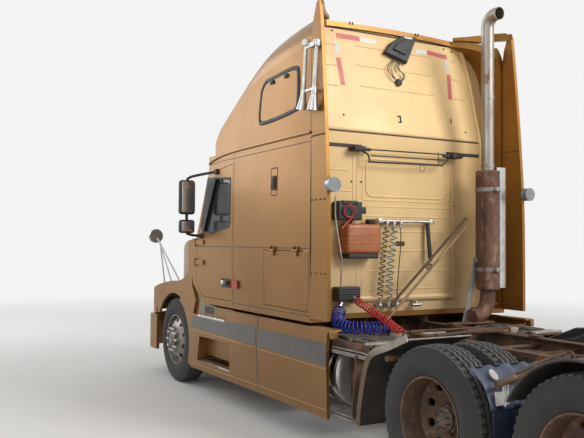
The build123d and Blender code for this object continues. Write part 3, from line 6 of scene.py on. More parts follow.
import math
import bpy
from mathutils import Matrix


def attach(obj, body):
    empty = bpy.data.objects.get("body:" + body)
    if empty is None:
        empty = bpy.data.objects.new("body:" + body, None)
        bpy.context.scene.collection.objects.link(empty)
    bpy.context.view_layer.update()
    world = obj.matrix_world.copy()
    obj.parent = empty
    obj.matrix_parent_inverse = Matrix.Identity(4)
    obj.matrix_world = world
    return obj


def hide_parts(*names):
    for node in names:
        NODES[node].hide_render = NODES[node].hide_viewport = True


bl_info = {
    "name": "Semi Truck Tractor Finish",
    "version": (1, 0, 0),
    "blender": (4, 5, 0),
    "location": "3D View > Sidebar > Truck",
    "description": "Tyres, lines, ribs, trim and weathered materials over the solid model of a semi truck tractor",
    "category": "Object",
}

import bmesh
import bpy
import numpy as np
from bpy.props import FloatProperty, FloatVectorProperty, IntProperty, PointerProperty
from mathutils import Matrix, Vector

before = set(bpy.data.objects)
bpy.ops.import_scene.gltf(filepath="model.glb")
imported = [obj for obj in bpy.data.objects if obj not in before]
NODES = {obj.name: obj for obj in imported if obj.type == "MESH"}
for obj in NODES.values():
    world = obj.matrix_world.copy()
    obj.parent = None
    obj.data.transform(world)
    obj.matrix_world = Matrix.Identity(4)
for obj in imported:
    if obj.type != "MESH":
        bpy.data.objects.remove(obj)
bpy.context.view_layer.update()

FRONT_X = 3.06
DRIVE_X = (-2.07, -3.39)
AXLE_Z = 0.54
FRONT_WHEEL_Y = 1.035
DUAL_Y = 0.91
DUAL_SPACING = 0.34
WALL_X = -0.21
PHOTO_SIZE = (584, 438)
SIDES = (("left", 1), ("right", -1))


# Sizes and colours that a user would change

def metres(name, description, default, low=0.0, high=10.0):
    return FloatProperty(name=name, description=description, default=default, min=low, max=high, unit="LENGTH",
                         precision=4)


def colour(name, description, default):
    return FloatVectorProperty(name=name, description=description, default=default, size=3, subtype="COLOR",
                               min=0.0, max=1.0)


class TruckPaint(bpy.types.PropertyGroup):
    """Colours of the truck's finishes."""
    # Painted shade: the body's gold is held darker than its paint, as the shaded sides show it
    body: colour("Body paint", "Gold metallic of the cab, hood and skirts", (0.31, 0.148, 0.026))
    body_dark: colour("Body paint, shaded", "Browner gold in the paint's cloudy variation", (0.235, 0.108, 0.021))
    # Painted sunlight: the rear wall has the body's gold paint, and this paler, brighter cream is that paint as the
    # sunlit wall shows it
    wall: colour("Rear wall paint", "Cream gold of the rear wall", (0.76, 0.52, 0.235))
    stripe: colour("Stripe", "Dark stripe along the skirts", (0.035, 0.035, 0.04))
    rust: colour("Rust", "Rusty brown of the chassis", (0.115, 0.052, 0.026))
    dust: colour("Dust", "Pale road dust", (0.34, 0.27, 0.19))
    red_line: colour("Red line", "Red air line", (0.55, 0.025, 0.02))
    blue_line: colour("Blue line", "Blue air line", (0.03, 0.06, 0.42))


class TruckTyres(bpy.types.PropertyGroup):
    """Tread and sidewall of the tyres."""
    groove_depth: metres("Groove depth", "Depth of the tread's grooves", 0.012, 0.0, 0.03)
    groove_width: metres("Groove width", "Width of the tread's grooves", 0.013, 0.002, 0.03)
    zigzag: metres("Zigzag", "How far the drive tyres' grooves wander sideways", 0.006, 0.0, 0.02)
    repeats: IntProperty(name="Repeats", description="Tread pattern repeats round a tyre", default=54, min=8, max=96)


class TruckLines(bpy.types.PropertyGroup):
    """Air and electric lines behind the cab."""
    hose: metres("Hose diameter", "Outer diameter of the air lines", 0.012, 0.004, 0.03)
    wire: metres("Cable diameter", "Outer diameter of the electric cables", 0.01, 0.004, 0.03)


class TruckTrim(bpy.types.PropertyGroup):
    """Ribs and seams."""
    rib: metres("Rib radius", "Radius of the ribs pressed into the rear wall", 0.009, 0.002, 0.03)
    seam: metres("Seam width", "Half the width of a panel seam", 0.004, 0.001, 0.02)


PROPERTY_GROUPS = {"truck_paint": TruckPaint, "truck_tyres": TruckTyres, "truck_lines": TruckLines,
                   "truck_trim": TruckTrim}


def settings(name):
    """The scene's own values of a property group."""
    return getattr(bpy.context.scene, name)


# Surfaces: each returns points and faces as arrays

def grid_faces(rows, columns, close_rows=False, close_columns=False):
    """Quads between neighbouring points of a grid, joined round where it closes."""
    row = np.arange(rows if close_rows else rows - 1)
    column = np.arange(columns if close_columns else columns - 1)
    r, c = np.meshgrid(row, column, indexing="ij")
    r_next, c_next = (r + 1) % rows, (c + 1) % columns
    quads = np.stack([r * columns + c, r * columns + c_next, r_next * columns + c_next, r_next * columns + c], axis=-1)
    return quads.reshape(-1, 4)


def grid(points, close_rows=False, close_columns=False):
    """A surface whose points are a grid of two parameters."""
    rows, columns = points.shape[:2]
    return points.reshape(-1, 3), grid_faces(rows, columns, close_rows, close_columns)


def closed_ends(points):
    """Rows added at both ends of a grid, each drawn in to its own centre, so that the ends are closed."""
    first = np.broadcast_to(points[0].mean(axis=0), points[0].shape)
    last = np.broadcast_to(points[-1].mean(axis=0), points[-1].shape)
    return np.concatenate([first[None], points, last[None]])


def across(axis):
    """Two unit directions square to an axis."""
    axis = np.asarray(axis, float) / np.linalg.norm(axis)
    helper = np.array([0.0, 0.0, 1.0]) if abs(axis[2]) < 0.9 else np.array([1.0, 0.0, 0.0])
    first = np.cross(helper, axis)
    first /= np.linalg.norm(first)
    return first, np.cross(axis, first)


def lathe(profile, origin, axis=(0, 1, 0), steps=48, ring=False):
    """A profile of distance along an axis and radius, turned about it: point = origin + distance * axis
    + radius * (cos angle * first + sin angle * second). A ring's profile joins its last point to its first."""
    profile = np.asarray(profile, float)
    axis = np.asarray(axis, float) / np.linalg.norm(axis)
    first, second = across(axis)
    angle = np.linspace(0, 2 * np.pi, steps, endpoint=False)
    round_about = np.cos(angle)[:, None] * first + np.sin(angle)[:, None] * second
    points = (np.asarray(origin, float) + profile[:, None, :1] * axis
              + profile[:, None, 1:] * round_about[None, :, :])
    if not ring:
        points = closed_ends(points)
    return grid(points, close_rows=ring, close_columns=True)


def swept(path, section, hint=None):
    """A closed section carried along a path: point = path + across * first + up * second, where first is square
    to the path and to the hint direction."""
    path = np.asarray(path, float)
    tangent = np.gradient(path, axis=0)
    tangent /= np.linalg.norm(tangent, axis=1)[:, None]
    if hint is None:
        spread = np.abs(path[-1] - path[0]) + np.ptp(path, axis=0)
        hint = np.eye(3)[int(np.argmin(spread))]
    first = np.cross(tangent, np.asarray(hint, float))
    first /= np.linalg.norm(first, axis=1)[:, None]
    second = np.cross(first, tangent)
    section = np.asarray(section, float)
    points = path[:, None] + section[None, :, :1] * first[:, None] + section[None, :, 1:] * second[:, None]
    return grid(closed_ends(points), close_columns=True)


def circle(radius, sides=10, flat=1.0):
    """A round or flattened section."""
    angle = np.linspace(0, 2 * np.pi, sides, endpoint=False)
    return np.stack([radius * np.cos(angle), radius * flat * np.sin(angle)], axis=-1)


def tube(path, radius, sides=10, hint=None):
    """A round bar along a path."""
    return swept(path, circle(radius, sides), hint)


def straight(start, end, count=2):
    """Evenly spaced points from start to end."""
    share = np.linspace(0, 1, count)[:, None]
    return np.asarray(start, float) * (1 - share) + np.asarray(end, float) * share


def rounded_block(low, high, radius, steps=3):
    """A box with round edges: each direction of a sphere, times the radius, set out from the box's corner in the
    same octant, so that the flat faces lie between neighbouring octants."""
    low, high = np.asarray(low, float), np.asarray(high, float)
    centre, half = (low + high) / 2, np.abs(high - low) / 2
    core = half - radius
    quarter = np.linspace(0, np.pi / 2, steps + 1)
    turn = np.concatenate([quarter + k * np.pi / 2 for k in range(4)])
    turn_sign = np.repeat([[1, 1], [-1, 1], [-1, -1], [1, -1]], steps + 1, axis=0)
    tilt = np.concatenate([quarter - np.pi / 2, quarter])
    tilt_sign = np.repeat([-1, 1], steps + 1)
    direction = np.stack([np.cos(tilt)[:, None] * np.cos(turn), np.cos(tilt)[:, None] * np.sin(turn),
                          np.sin(tilt)[:, None] * np.ones_like(turn)], axis=-1)
    corner = np.stack([np.broadcast_to(turn_sign[:, 0], direction.shape[:2]),
                       np.broadcast_to(turn_sign[:, 1], direction.shape[:2]),
                       np.broadcast_to(tilt_sign[:, None], direction.shape[:2])], axis=-1)
    return grid(closed_ends(centre + corner * core + radius * direction), close_columns=True)


def rounded_outline(width, height, radius, steps=5):
    """Points round a rectangle with round corners about the origin: point = sign * (half size - radius)
    + radius * (cos turn, sin turn), with the sign of each corner."""
    quarter = np.linspace(0, np.pi / 2, steps + 1)
    turn = np.concatenate([quarter + k * np.pi / 2 for k in range(4)])
    sign = np.repeat([[1, 1], [-1, 1], [-1, -1], [1, -1]], steps + 1, axis=0)
    core = np.array([width / 2 - radius, height / 2 - radius])
    return sign * core + radius * np.stack([np.cos(turn), np.sin(turn)], axis=-1)


def plate(outline, origin, u_axis, v_axis, thickness, bevel=0.0):
    """A flat plate: its outline, set out along two axes from an origin, drawn in by the bevel at the front, and
    carried back by the thickness."""
    u_axis, v_axis = np.asarray(u_axis, float), np.asarray(v_axis, float)
    normal = np.cross(u_axis, v_axis)
    outline = np.asarray(outline, float)
    middle = outline.mean(axis=0)
    reach = np.linalg.norm(outline - middle, axis=1)[:, None]
    inner = middle + (outline - middle) * (1 - bevel / np.maximum(reach, 1e-6))
    rows = [(inner, thickness / 2), (outline, thickness / 2 - bevel), (outline, -thickness / 2)]
    points = np.stack([np.asarray(origin, float) + ring[:, :1] * u_axis + ring[:, 1:] * v_axis + depth * normal
                       for ring, depth in rows])
    return grid(closed_ends(points), close_columns=True)


def copies(shape, places):
    """A shape repeated at each place."""
    points, faces = shape
    places = np.asarray(places, float)
    shifted = faces[None] + (np.arange(len(places)) * len(points))[:, None, None]
    return (points[None] + places[:, None, :]).reshape(-1, 3), shifted.reshape(-1, faces.shape[1])


def mirrored(shape):
    """The same shape for the other side of the truck, its faces turned to stay outwards."""
    points, faces = shape
    return points * np.array([1.0, -1.0, 1.0]), faces[:, ::-1]


def both(*shapes):
    """Each shape and its mirror image."""
    return [twin for shape in shapes for twin in (shape, mirrored(shape))]


def own_side(sign, shapes):
    """Shapes made for the left side, mirrored for the right side's negative sign."""
    return shapes if sign > 0 else [mirrored(shape) for shape in shapes]


def back_from(x, *rows):
    """Points from rows of distance behind x, place across and height."""
    return [(x - back, y, z) for back, y, z in rows]


def boxes(x, *rows):
    """Rounded boxes from rows of the far and near distance behind x, both places across, both heights, and the
    radius and steps of the edges."""
    return [rounded_block((x - far, y0, z0), (x - near, y1, z1), *edge) for far, near, y0, y1, z0, z1, *edge in rows]


def piece(name, shapes, material, body="root", smooth=True, crease=35.0):
    """Join shapes into one mesh with outward faces, give it a finish and hang it on a body."""
    points = np.concatenate([shape[0] for shape in shapes])
    starts = np.cumsum([0] + [len(shape[0]) for shape in shapes[:-1]])
    faces = np.concatenate([shape[1] + start for shape, start in zip(shapes, starts)])
    mesh = bpy.data.meshes.new(name)
    mesh.vertices.add(len(points))
    mesh.vertices.foreach_set("co", points.astype(np.float32).ravel())
    mesh.loops.add(faces.size)
    mesh.loops.foreach_set("vertex_index", faces.astype(np.int32).ravel())
    mesh.polygons.add(len(faces))
    mesh.polygons.foreach_set("loop_start", np.arange(0, faces.size, faces.shape[1], dtype=np.int32))
    mesh.update(calc_edges=True)
    work = bmesh.new()
    work.from_mesh(mesh)
    bmesh.ops.remove_doubles(work, verts=work.verts, dist=1e-6)
    bmesh.ops.dissolve_degenerate(work, edges=work.edges, dist=1e-7)
    bmesh.ops.recalc_face_normals(work, faces=work.faces)
    work.to_mesh(mesh)
    work.free()
    mesh.polygons.foreach_set("use_smooth", np.full(len(mesh.polygons), smooth))
    if smooth:
        mesh.set_sharp_from_angle(angle=math.radians(crease))
    mesh.materials.append(finish(material))
    made = bpy.data.objects.new(name, mesh)
    bpy.context.scene.collection.objects.link(made)
    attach(made, body)
    return made


# Materials

WHITE = (1.0, 1.0, 1.0, 1.0)
# Strength of the plain room as it lights the truck, and as the camera sees it
ROOM_LIGHT, ROOM_SEEN = 0.5, 0.9
# Distances from the middle over which the floor goes over to white
FLOOR_FADE = (5.0, 20.0)


def add_node(tree, kind, inputs, **properties):
    """A new shader node. Each input gets a value, or a link where another node's output is given."""
    made = tree.nodes.new("ShaderNode" + kind)
    for name, value in properties.items():
        setattr(made, name, value)
    for socket, value in inputs.items():
        if isinstance(value, bpy.types.NodeSocket):
            tree.links.new(value, made.inputs[socket])
        else:
            made.inputs[socket].default_value = value
    return made


def tint(value, base=None):
    """A colour given as three shares, as the name of a paint setting, or as a share of a base colour."""
    if isinstance(value, str):
        return tuple(getattr(settings("truck_paint"), value))
    return tuple(channel * value for channel in base) if isinstance(value, float) else value


def surface(name, base, second, cloud, rough, metallic, grain, coat=0.0, dust=None, patches=None, alpha=1.0,
            stretch=(1, 1, 1)):
    """A weathered finish. Cloudy noise mixes base with second and drives the roughness; patches is a colour, a
    scale and a threshold of sharper noise; dust is a colour, the heights where it is full and gone, and its most;
    grain is the scale and strength of a fine bump."""
    material = bpy.data.materials.new(name)
    material.use_nodes = True
    tree = material.node_tree
    shader = tree.nodes["Principled BSDF"].inputs
    for socket, value in (("Metallic", metallic), ("Coat Weight", coat), ("Coat Roughness", 0.12), ("Alpha", alpha)):
        shader[socket].default_value = value
    place = add_node(tree, "TexCoord", {}).outputs["Object"]
    mapped = add_node(tree, "Mapping", {"Scale": stretch, "Vector": place}).outputs["Vector"]

    def noise(scale, detail, roughness=0.6):
        return add_node(tree, "TexNoise", {"Scale": scale, "Detail": detail, "Roughness": roughness,
                                           "Vector": mapped}).outputs["Fac"]

    def spread(source, low, high, to_low=0.0, to_high=1.0):
        return add_node(tree, "MapRange", {"From Min": low, "From Max": high, "To Min": to_low, "To Max": to_high,
                                           "Value": source}).outputs["Result"]

    def mixed(share, first, last):
        ends = [end if isinstance(end, bpy.types.NodeSocket) else (*end, 1.0) for end in (first, last)]
        return add_node(tree, "Mix", {"Factor": share, "A": ends[0], "B": ends[1]}, data_type="RGBA").outputs["Result"]

    clouds = noise(cloud, 6.0)
    base = tint(base)
    shade = mixed(spread(clouds, 0.35, 0.68), base, tint(second, base))
    if patches:
        patch_colour, patch_scale, threshold = patches
        shade = mixed(spread(noise(patch_scale, 8.0, 0.7), threshold, threshold + 0.06), shade, tint(patch_colour))
    if dust:
        dust_colour, full_z, gone_z, most = dust
        height = add_node(tree, "SeparateXYZ", {"Vector": place}).outputs["Z"]
        amount = add_node(tree, "Math", {0: spread(height, full_z, gone_z, most, 0.0),
                                         1: spread(noise(6.0, 7.0, 0.65), 0.3, 0.65, 0.25, 1.0)}, operation="MULTIPLY")
        shade = mixed(amount.outputs["Value"], shade, tint(dust_colour))
    bump = add_node(tree, "Bump", {"Strength": grain[1], "Distance": 0.002, "Height": noise(grain[0], 4.0)})
    for socket, source in (("Base Color", shade), ("Roughness", spread(clouds, 0.3, 0.7, *rough)),
                           ("Normal", bump.outputs["Normal"])):
        tree.links.new(source, shader[socket])
    return material


# Finishes: both colours, scale of the clouds, roughness, metallic share, grain, and what else differs
FINISHES = {
    # Painted shade: the body's gold, a darker copy of the paint that the rear wall also has
    "gold_metallic_paint": ("body", "body_dark", 0.55, (0.33, 0.45), 0.65, (900.0, 0.03),
        # Towards the bottom, from 1.5 m down to 0.25 m, the body's gold goes over in clouds to a darker, duller taupe
        dict(coat=0.08, dust=((0.2, 0.13, 0.075), 0.25, 1.5, 0.45))),
    # Painted sunlight: the rear wall's cream, a paler, brighter copy of the body's gold paint
    "cream_gold_paint": ("wall", 0.88, 0.9, (0.42, 0.58), 0.15, (500.0, 0.05),
        dict(coat=0.1, dust=("dust", 1.1, 2.2, 0.5))),
    "dark_stripe_paint": ("stripe", (0.06, 0.057, 0.055), 2.0, (0.35, 0.5), 0.0, (300.0, 0.08),
        dict(coat=0.3, dust=("dust", 0.3, 1.2, 0.35))),
    "olive_set_back_panel": ((0.2, 0.19, 0.12), (0.15, 0.14, 0.09), 2.0, (0.35, 0.5), 0.2, (300.0, 0.08),
        dict(coat=0.2)),
    "rusty_chassis_steel": ("rust", (0.045, 0.032, 0.025), 5.0, (0.7, 0.92), 0.2, (160.0, 0.5),
        dict(patches=((0.23, 0.095, 0.035), 9.0, 0.55), dust=("dust", 0.2, 1.3, 0.4))),
    "worn_black_steel": ((0.028, 0.027, 0.027), (0.05, 0.045, 0.04), 6.0, (0.45, 0.7), 0.3, (200.0, 0.3),
        dict(patches=("rust", 12.0, 0.6), dust=("dust", 0.2, 1.3, 0.45))),
    "worn_galvanised_steel": ((0.3, 0.29, 0.27), (0.2, 0.185, 0.165), 8.0, (0.45, 0.65), 0.6, (200.0, 0.25),
        dict(patches=("rust", 16.0, 0.62), dust=("dust", 0.1, 1.4, 0.3))),
    "worn_pale_plate": ((0.46, 0.42, 0.36), (0.27, 0.22, 0.17), 9.0, (0.45, 0.65), 0.3, (240.0, 0.2),
        dict(patches=("rust", 11.0, 0.6))),
    "polished_aluminium_skin": ((0.62, 0.62, 0.64), (0.5, 0.49, 0.48), 7.0, (0.14, 0.3), 1.0, (400.0, 0.05),
        dict(dust=((0.3, 0.25, 0.19), 0.1, 1.3, 0.25))),
    "bright_bar_metal": ((0.6, 0.6, 0.6), (0.42, 0.4, 0.37), 14.0, (0.22, 0.42), 0.9, (300.0, 0.1), {}),
    "dulled_tank_metal": ((0.58, 0.56, 0.53), (0.4, 0.37, 0.33), 6.0, (0.22, 0.42), 0.85, (300.0, 0.1),
        dict(dust=((0.3, 0.24, 0.17), 0.3, 1.1, 0.35))),
    # Painted dark reflection: the front discs' polished metal is held darker, standing in for the dark reflections it
    # shows
    "dulled_wheel_metal": ((0.34, 0.32, 0.3), (0.24, 0.22, 0.2), 9.0, (0.28, 0.45), 0.85, (300.0, 0.1),
        dict(dust=((0.16, 0.12, 0.085), 0.1, 1.1, 0.4))),
    "greasy_hub_steel": ((0.16, 0.12, 0.095), (0.09, 0.065, 0.05), 11.0, (0.5, 0.75), 0.5, (240.0, 0.35),
        dict(patches=((0.3, 0.25, 0.21), 13.0, 0.58), dust=("dust", 0.2, 1.0, 0.25))),
    "rusty_wheel_steel": ((0.13, 0.062, 0.034), (0.075, 0.045, 0.032), 8.0, (0.7, 0.9), 0.1, (220.0, 0.4),
        dict(patches=((0.21, 0.12, 0.07), 14.0, 0.56), dust=("dust", 0.1, 1.1, 0.3))),
    "rusty_muffler_steel": ((0.17, 0.082, 0.05), (0.1, 0.055, 0.04), 7.0, (0.6, 0.85), 0.3, (180.0, 0.4),
        dict(patches=((0.27, 0.15, 0.1), 10.0, 0.54), stretch=(1, 1, 0.5))),
    "weathered_stack_steel": ((0.4, 0.37, 0.33), (0.27, 0.22, 0.18), 5.0, (0.28, 0.5), 0.75, (260.0, 0.15),
        dict(patches=((0.2, 0.11, 0.065), 7.0, 0.6), stretch=(1, 1, 0.4))),
    "worn_tyre_rubber": ((0.016, 0.015, 0.015), (0.03, 0.028, 0.026), 5.0, (0.72, 0.9), 0.0, (350.0, 0.25),
        dict(dust=((0.12, 0.1, 0.08), 0.0, 1.2, 0.35))),
    "dusty_tread_rubber": ((0.085, 0.082, 0.078), (0.06, 0.057, 0.053), 14.0, (0.75, 0.9), 0.0, (300.0, 0.3), {}),
    # Painted shade in the tread's grooves: a black darker than the tyre's own rubber
    "groove_rubber": ((0.012, 0.012, 0.012), (0.018, 0.017, 0.016), 9.0, (0.8, 0.9), 0.0, (300.0, 0.08), {}),
    "moulded_black_plastic": ((0.014, 0.014, 0.015), (0.028, 0.026, 0.025), 9.0, (0.45, 0.65), 0.0, (600.0, 0.15),
        dict(dust=((0.2, 0.16, 0.12), 0.3, 2.6, 0.12))),
    "dusty_guard_plastic": ((0.02, 0.018, 0.017), (0.036, 0.031, 0.027), 5.0, (0.5, 0.75), 0.0, (260.0, 0.2),
        dict(dust=((0.2, 0.16, 0.12), 0.3, 1.5, 0.22))),
    "bronze_guard_sheet": ((0.15, 0.095, 0.05), (0.09, 0.06, 0.036), 5.0, (0.4, 0.6), 0.2, (240.0, 0.2),
        dict(dust=((0.46, 0.42, 0.36), 1.0, 0.9, 0.85))),
    "navy_guard_flap": ((0.012, 0.018, 0.045), (0.02, 0.024, 0.04), 6.0, (0.45, 0.65), 0.0, (260.0, 0.2), {}),
    "dark_blue_guard": ((0.075, 0.095, 0.15), (0.045, 0.06, 0.105), 4.0, (0.32, 0.5), 0.0, (260.0, 0.1),
        dict(dust=((0.22, 0.2, 0.19), 0.5, 1.2, 0.25))),
    "grubby_white_pad": ((0.62, 0.6, 0.56), (0.44, 0.41, 0.37), 12.0, (0.5, 0.7), 0.0, (300.0, 0.2), {}),
    "dusty_grey_pipe": ((0.17, 0.155, 0.14), (0.1, 0.09, 0.08), 12.0, (0.5, 0.7), 0.0, (300.0, 0.15),
        dict(patches=((0.3, 0.26, 0.21), 14.0, 0.58))),
    "dark_brown_pole": ((0.1, 0.055, 0.028), (0.06, 0.035, 0.02), 9.0, (0.55, 0.75), 0.0, (260.0, 0.2), {}),
    "dusty_brown_pole": ((0.36, 0.23, 0.12), (0.22, 0.13, 0.07), 9.0, (0.55, 0.75), 0.0, (260.0, 0.2),
        dict(patches=((0.1, 0.06, 0.04), 15.0, 0.6))),
    "dusty_seat_cloth": ((0.16, 0.14, 0.12), (0.11, 0.1, 0.09), 12.0, (0.85, 0.95), 0.0, (700.0, 0.5), {}),
    "dark_window_glass": ((0.035, 0.04, 0.045), (0.025, 0.03, 0.034), 1.0, (0.03, 0.08), 0.0, (40.0, 0.01),
        dict(alpha=0.62, dust=((0.25, 0.22, 0.18), 1.9, 2.9, 0.08))),
    "clear_lamp_lens": ((0.34, 0.35, 0.36), (0.24, 0.25, 0.26), 20.0, (0.12, 0.25), 0.6, (90.0, 0.2), {}),
    "amber_marker_lens": ((0.4, 0.1, 0.02), (0.28, 0.07, 0.015), 30.0, (0.15, 0.3), 0.0, (120.0, 0.2), {}),
    "red_marker_lens": ((0.45, 0.02, 0.015), (0.35, 0.015, 0.012), 30.0, (0.15, 0.3), 0.0, (120.0, 0.2), {}),
    "red_reflective_tape": ((0.62, 0.07, 0.06), (0.5, 0.05, 0.05), 12.0, (0.3, 0.45), 0.0, (900.0, 0.2),
        dict(dust=((0.6, 0.5, 0.38), 3.0, 4.2, 0.2))),
    "white_reflective_tape": ((0.72, 0.72, 0.66), (0.62, 0.6, 0.52), 10.0, (0.3, 0.45), 0.0, (900.0, 0.2), {}),
    "terracotta_tank_plastic": ((0.46, 0.145, 0.045), 0.7, 25.0, (0.35, 0.5), 0.0, (500.0, 0.08), dict(coat=0.2)),
    "red_hose_finish": ("red_line", 0.7, 25.0, (0.28, 0.42), 0.0, (500.0, 0.08), dict(coat=0.2)),
    "blue_hose_finish": ("blue_line", 0.7, 25.0, (0.28, 0.42), 0.0, (500.0, 0.08), dict(coat=0.2)),
    "black_hose_finish": ((0.02, 0.02, 0.021), 0.7, 25.0, (0.28, 0.42), 0.0, (500.0, 0.08), dict(coat=0.2)),
    "teal_hose_finish": ((0.05, 0.17, 0.26), 0.7, 25.0, (0.28, 0.42), 0.0, (500.0, 0.08), dict(coat=0.2)),
    "pale_floor_finish": ((0.8, 0.79, 0.77), (0.77, 0.76, 0.74), 0.4, (0.8, 0.9), 0.0, (30.0, 0.02), {}),
}


def finish(name):
    """A material from FINISHES, made when it is first asked for."""
    *values, options = FINISHES[name]
    return bpy.data.materials.get(name) or surface(name, *values, **options)


# Finish of each node of the solid model
NODE_FINISHES = {
    "gold_metallic_paint": ("hood", "cab_shell", "sleeper_shell", "door_left", "door_right", "luggage_door_left",
                            "luggage_door_right", "roof_cap", "side_extenders", "side_skirts", "front_bumper"),
    "cream_gold_paint": ("rear_wall",),
    "rusty_chassis_steel": ("frame", "front_axle", "knuckle_left", "knuckle_right", "tie_rod", "drive_axles",
                            "engine", "deck_plates"),
    "worn_black_steel": ("line_couplings", "mudguards"),
    "polished_aluminium_skin": ("grille", "fuel_tanks", "front_rim_left", "front_rim_right"),
    "bright_bar_metal": ("air_horns", "hood_mirrors"),
    "dark_window_glass": ("windscreen", "door_glass_left", "door_glass_right"),
    "clear_lamp_lens": ("headlamps", "work_lights"),
    "rusty_muffler_steel": ("exhaust_stack",),
    "rusty_wheel_steel": ("drive_rims_1_left", "drive_rims_1_right", "drive_rims_2_left", "drive_rims_2_right",
                          "hose_rail"),
    "worn_tyre_rubber": ("front_tyre_left", "front_tyre_right", "drive_tyres_1_left", "drive_tyres_1_right",
                         "drive_tyres_2_left", "drive_tyres_2_right"),
    "moulded_black_plastic": ("wall_fittings", "dashboard", "door_mirror_left", "door_mirror_right"),
    "dusty_seat_cloth": ("seats",),
}


class TRUCK_OT_materials(bpy.types.Operator):
    """Give every node of the solid model its finish"""
    bl_idname = "truck.materials"
    bl_label = "Materials"

    def execute(self, context):
        for material, names in NODE_FINISHES.items():
            for name in names:
                made = NODES[name]
                if not made.material_slots:
                    made.data.materials.append(finish(material))
                for place in made.material_slots:
                    place.material = finish(material)
        return {"FINISHED"}


# Camera, lights, floor
CAMERA_AT = (-6.341, 4.722, 1.804)
CAMERA_YAW, CAMERA_PITCH, CAMERA_ROLL = -29.341, 1.77, -0.414
CAMERA_FOCUS = 761.6
SENSOR_WIDTH = 36.0
# Place, aim, size and power of each lamp
LAMPS = (
    ("key_lamp", (-13.5, -7.0, 10.5), (-0.5, 0.0, 2.0), 6.5, 1780),
    ("fill_lamp", (-5.0, 11.0, 6.0), (0.0, 0.0, 1.8), 7.0, 230),
    ("front_lamp", (11.0, 5.0, 6.0), (1.0, 0.0, 1.5), 6.0, 280),
)


def camera_turn():
    """The camera's axes from its heading, its pitch and its roll."""
    yaw, pitch, roll = (math.radians(angle) for angle in (CAMERA_YAW, CAMERA_PITCH, CAMERA_ROLL))
    ahead = Vector((math.cos(yaw) * math.cos(pitch), math.sin(yaw) * math.cos(pitch), math.sin(pitch)))
    right = Vector((math.sin(yaw), -math.cos(yaw), 0.0))
    up = right.cross(ahead)
    x_axis = right * math.cos(roll) - up * math.sin(roll)
    y_axis = right * math.sin(roll) + up * math.cos(roll)
    return Matrix((x_axis, y_axis, -ahead)).transposed().to_4x4()


def placed(name, data, matrix):
    """A new object in the scene."""
    made = bpy.data.objects.new(name, data)
    made.matrix_world = matrix
    bpy.context.scene.collection.objects.link(made)
    return made


def pale_room():
    """A world that is brighter to the camera and in what glossy and clear surfaces show than as a light."""
    world = bpy.data.worlds.new("pale_room")
    world.use_nodes = True
    tree = world.node_tree
    rays = add_node(tree, "LightPath", {}).outputs
    shown = add_node(tree, "Math", {0: rays["Is Glossy Ray"], 1: rays["Is Transmission Ray"]}, operation="MAXIMUM")
    seen = add_node(tree, "Math", {0: rays["Is Camera Ray"], 1: shown.outputs["Value"]}, operation="MAXIMUM")
    strength = add_node(tree, "MapRange", {"To Min": ROOM_LIGHT, "To Max": ROOM_SEEN, "Value": seen.outputs["Value"]})
    background = tree.nodes["Background"].inputs
    background["Color"].default_value = WHITE
    tree.links.new(strength.outputs["Result"], background["Strength"])
    return world


def floor_finish():
    """A pale floor that goes over to the background's white with the distance, so that no horizon shows."""
    material = finish("pale_floor_finish")
    tree = material.node_tree
    place = add_node(tree, "TexCoord", {}).outputs["Object"]
    reach = add_node(tree, "VectorMath", {0: place}, operation="LENGTH").outputs["Value"]
    share = add_node(tree, "MapRange", {"From Min": FLOOR_FADE[0], "From Max": FLOOR_FADE[1], "Value": reach},
                     interpolation_type="SMOOTHSTEP")
    white = add_node(tree, "Emission", {"Color": WHITE, "Strength": ROOM_SEEN})
    blend = add_node(tree, "MixShader", {"Fac": share.outputs["Result"], 2: white.outputs["Emission"],
                                         1: tree.nodes["Principled BSDF"].outputs["BSDF"]})
    tree.links.new(blend.outputs["Shader"], tree.nodes["Material Output"].inputs["Surface"])
    return material


class TRUCK_OT_stage(bpy.types.Operator):
    """Camera of the photograph, lamps and a pale floor"""
    bl_idname = "truck.stage"
    bl_label = "Stage"

    def execute(self, context):
        scene = context.scene
        lens = bpy.data.cameras.new("photo_camera")
        lens.sensor_fit = "HORIZONTAL"
        lens.sensor_width = SENSOR_WIDTH
        lens.lens = CAMERA_FOCUS * SENSOR_WIDTH / PHOTO_SIZE[0]
        lens.clip_end = 200.0
        scene.camera = placed("photo_camera", lens, Matrix.Translation(CAMERA_AT) @ camera_turn())
        for name, place, aim, size, power in LAMPS:
            lamp = bpy.data.lights.new(name, "AREA")
            lamp.size = size
            lamp.energy = power
            turn = (Vector(aim) - Vector(place)).to_track_quat("-Z", "Y").to_matrix().to_4x4()
            placed(name, lamp, Matrix.Translation(place) @ turn)
        scene.world = pale_room()
        x, y = np.meshgrid(*[np.linspace(-60.0, 60.0, 9)] * 2, indexing="ij")
        points, faces = grid(np.stack([x, y, np.full_like(x, -0.001)], axis=-1))
        mesh = bpy.data.meshes.new("pale_floor")
        mesh.from_pydata(points.tolist(), [], faces.tolist())
        mesh.materials.append(floor_finish())
        floor = placed("pale_floor", mesh, Matrix())
        scene.view_settings.view_transform = "Standard"
        return {"FINISHED"}


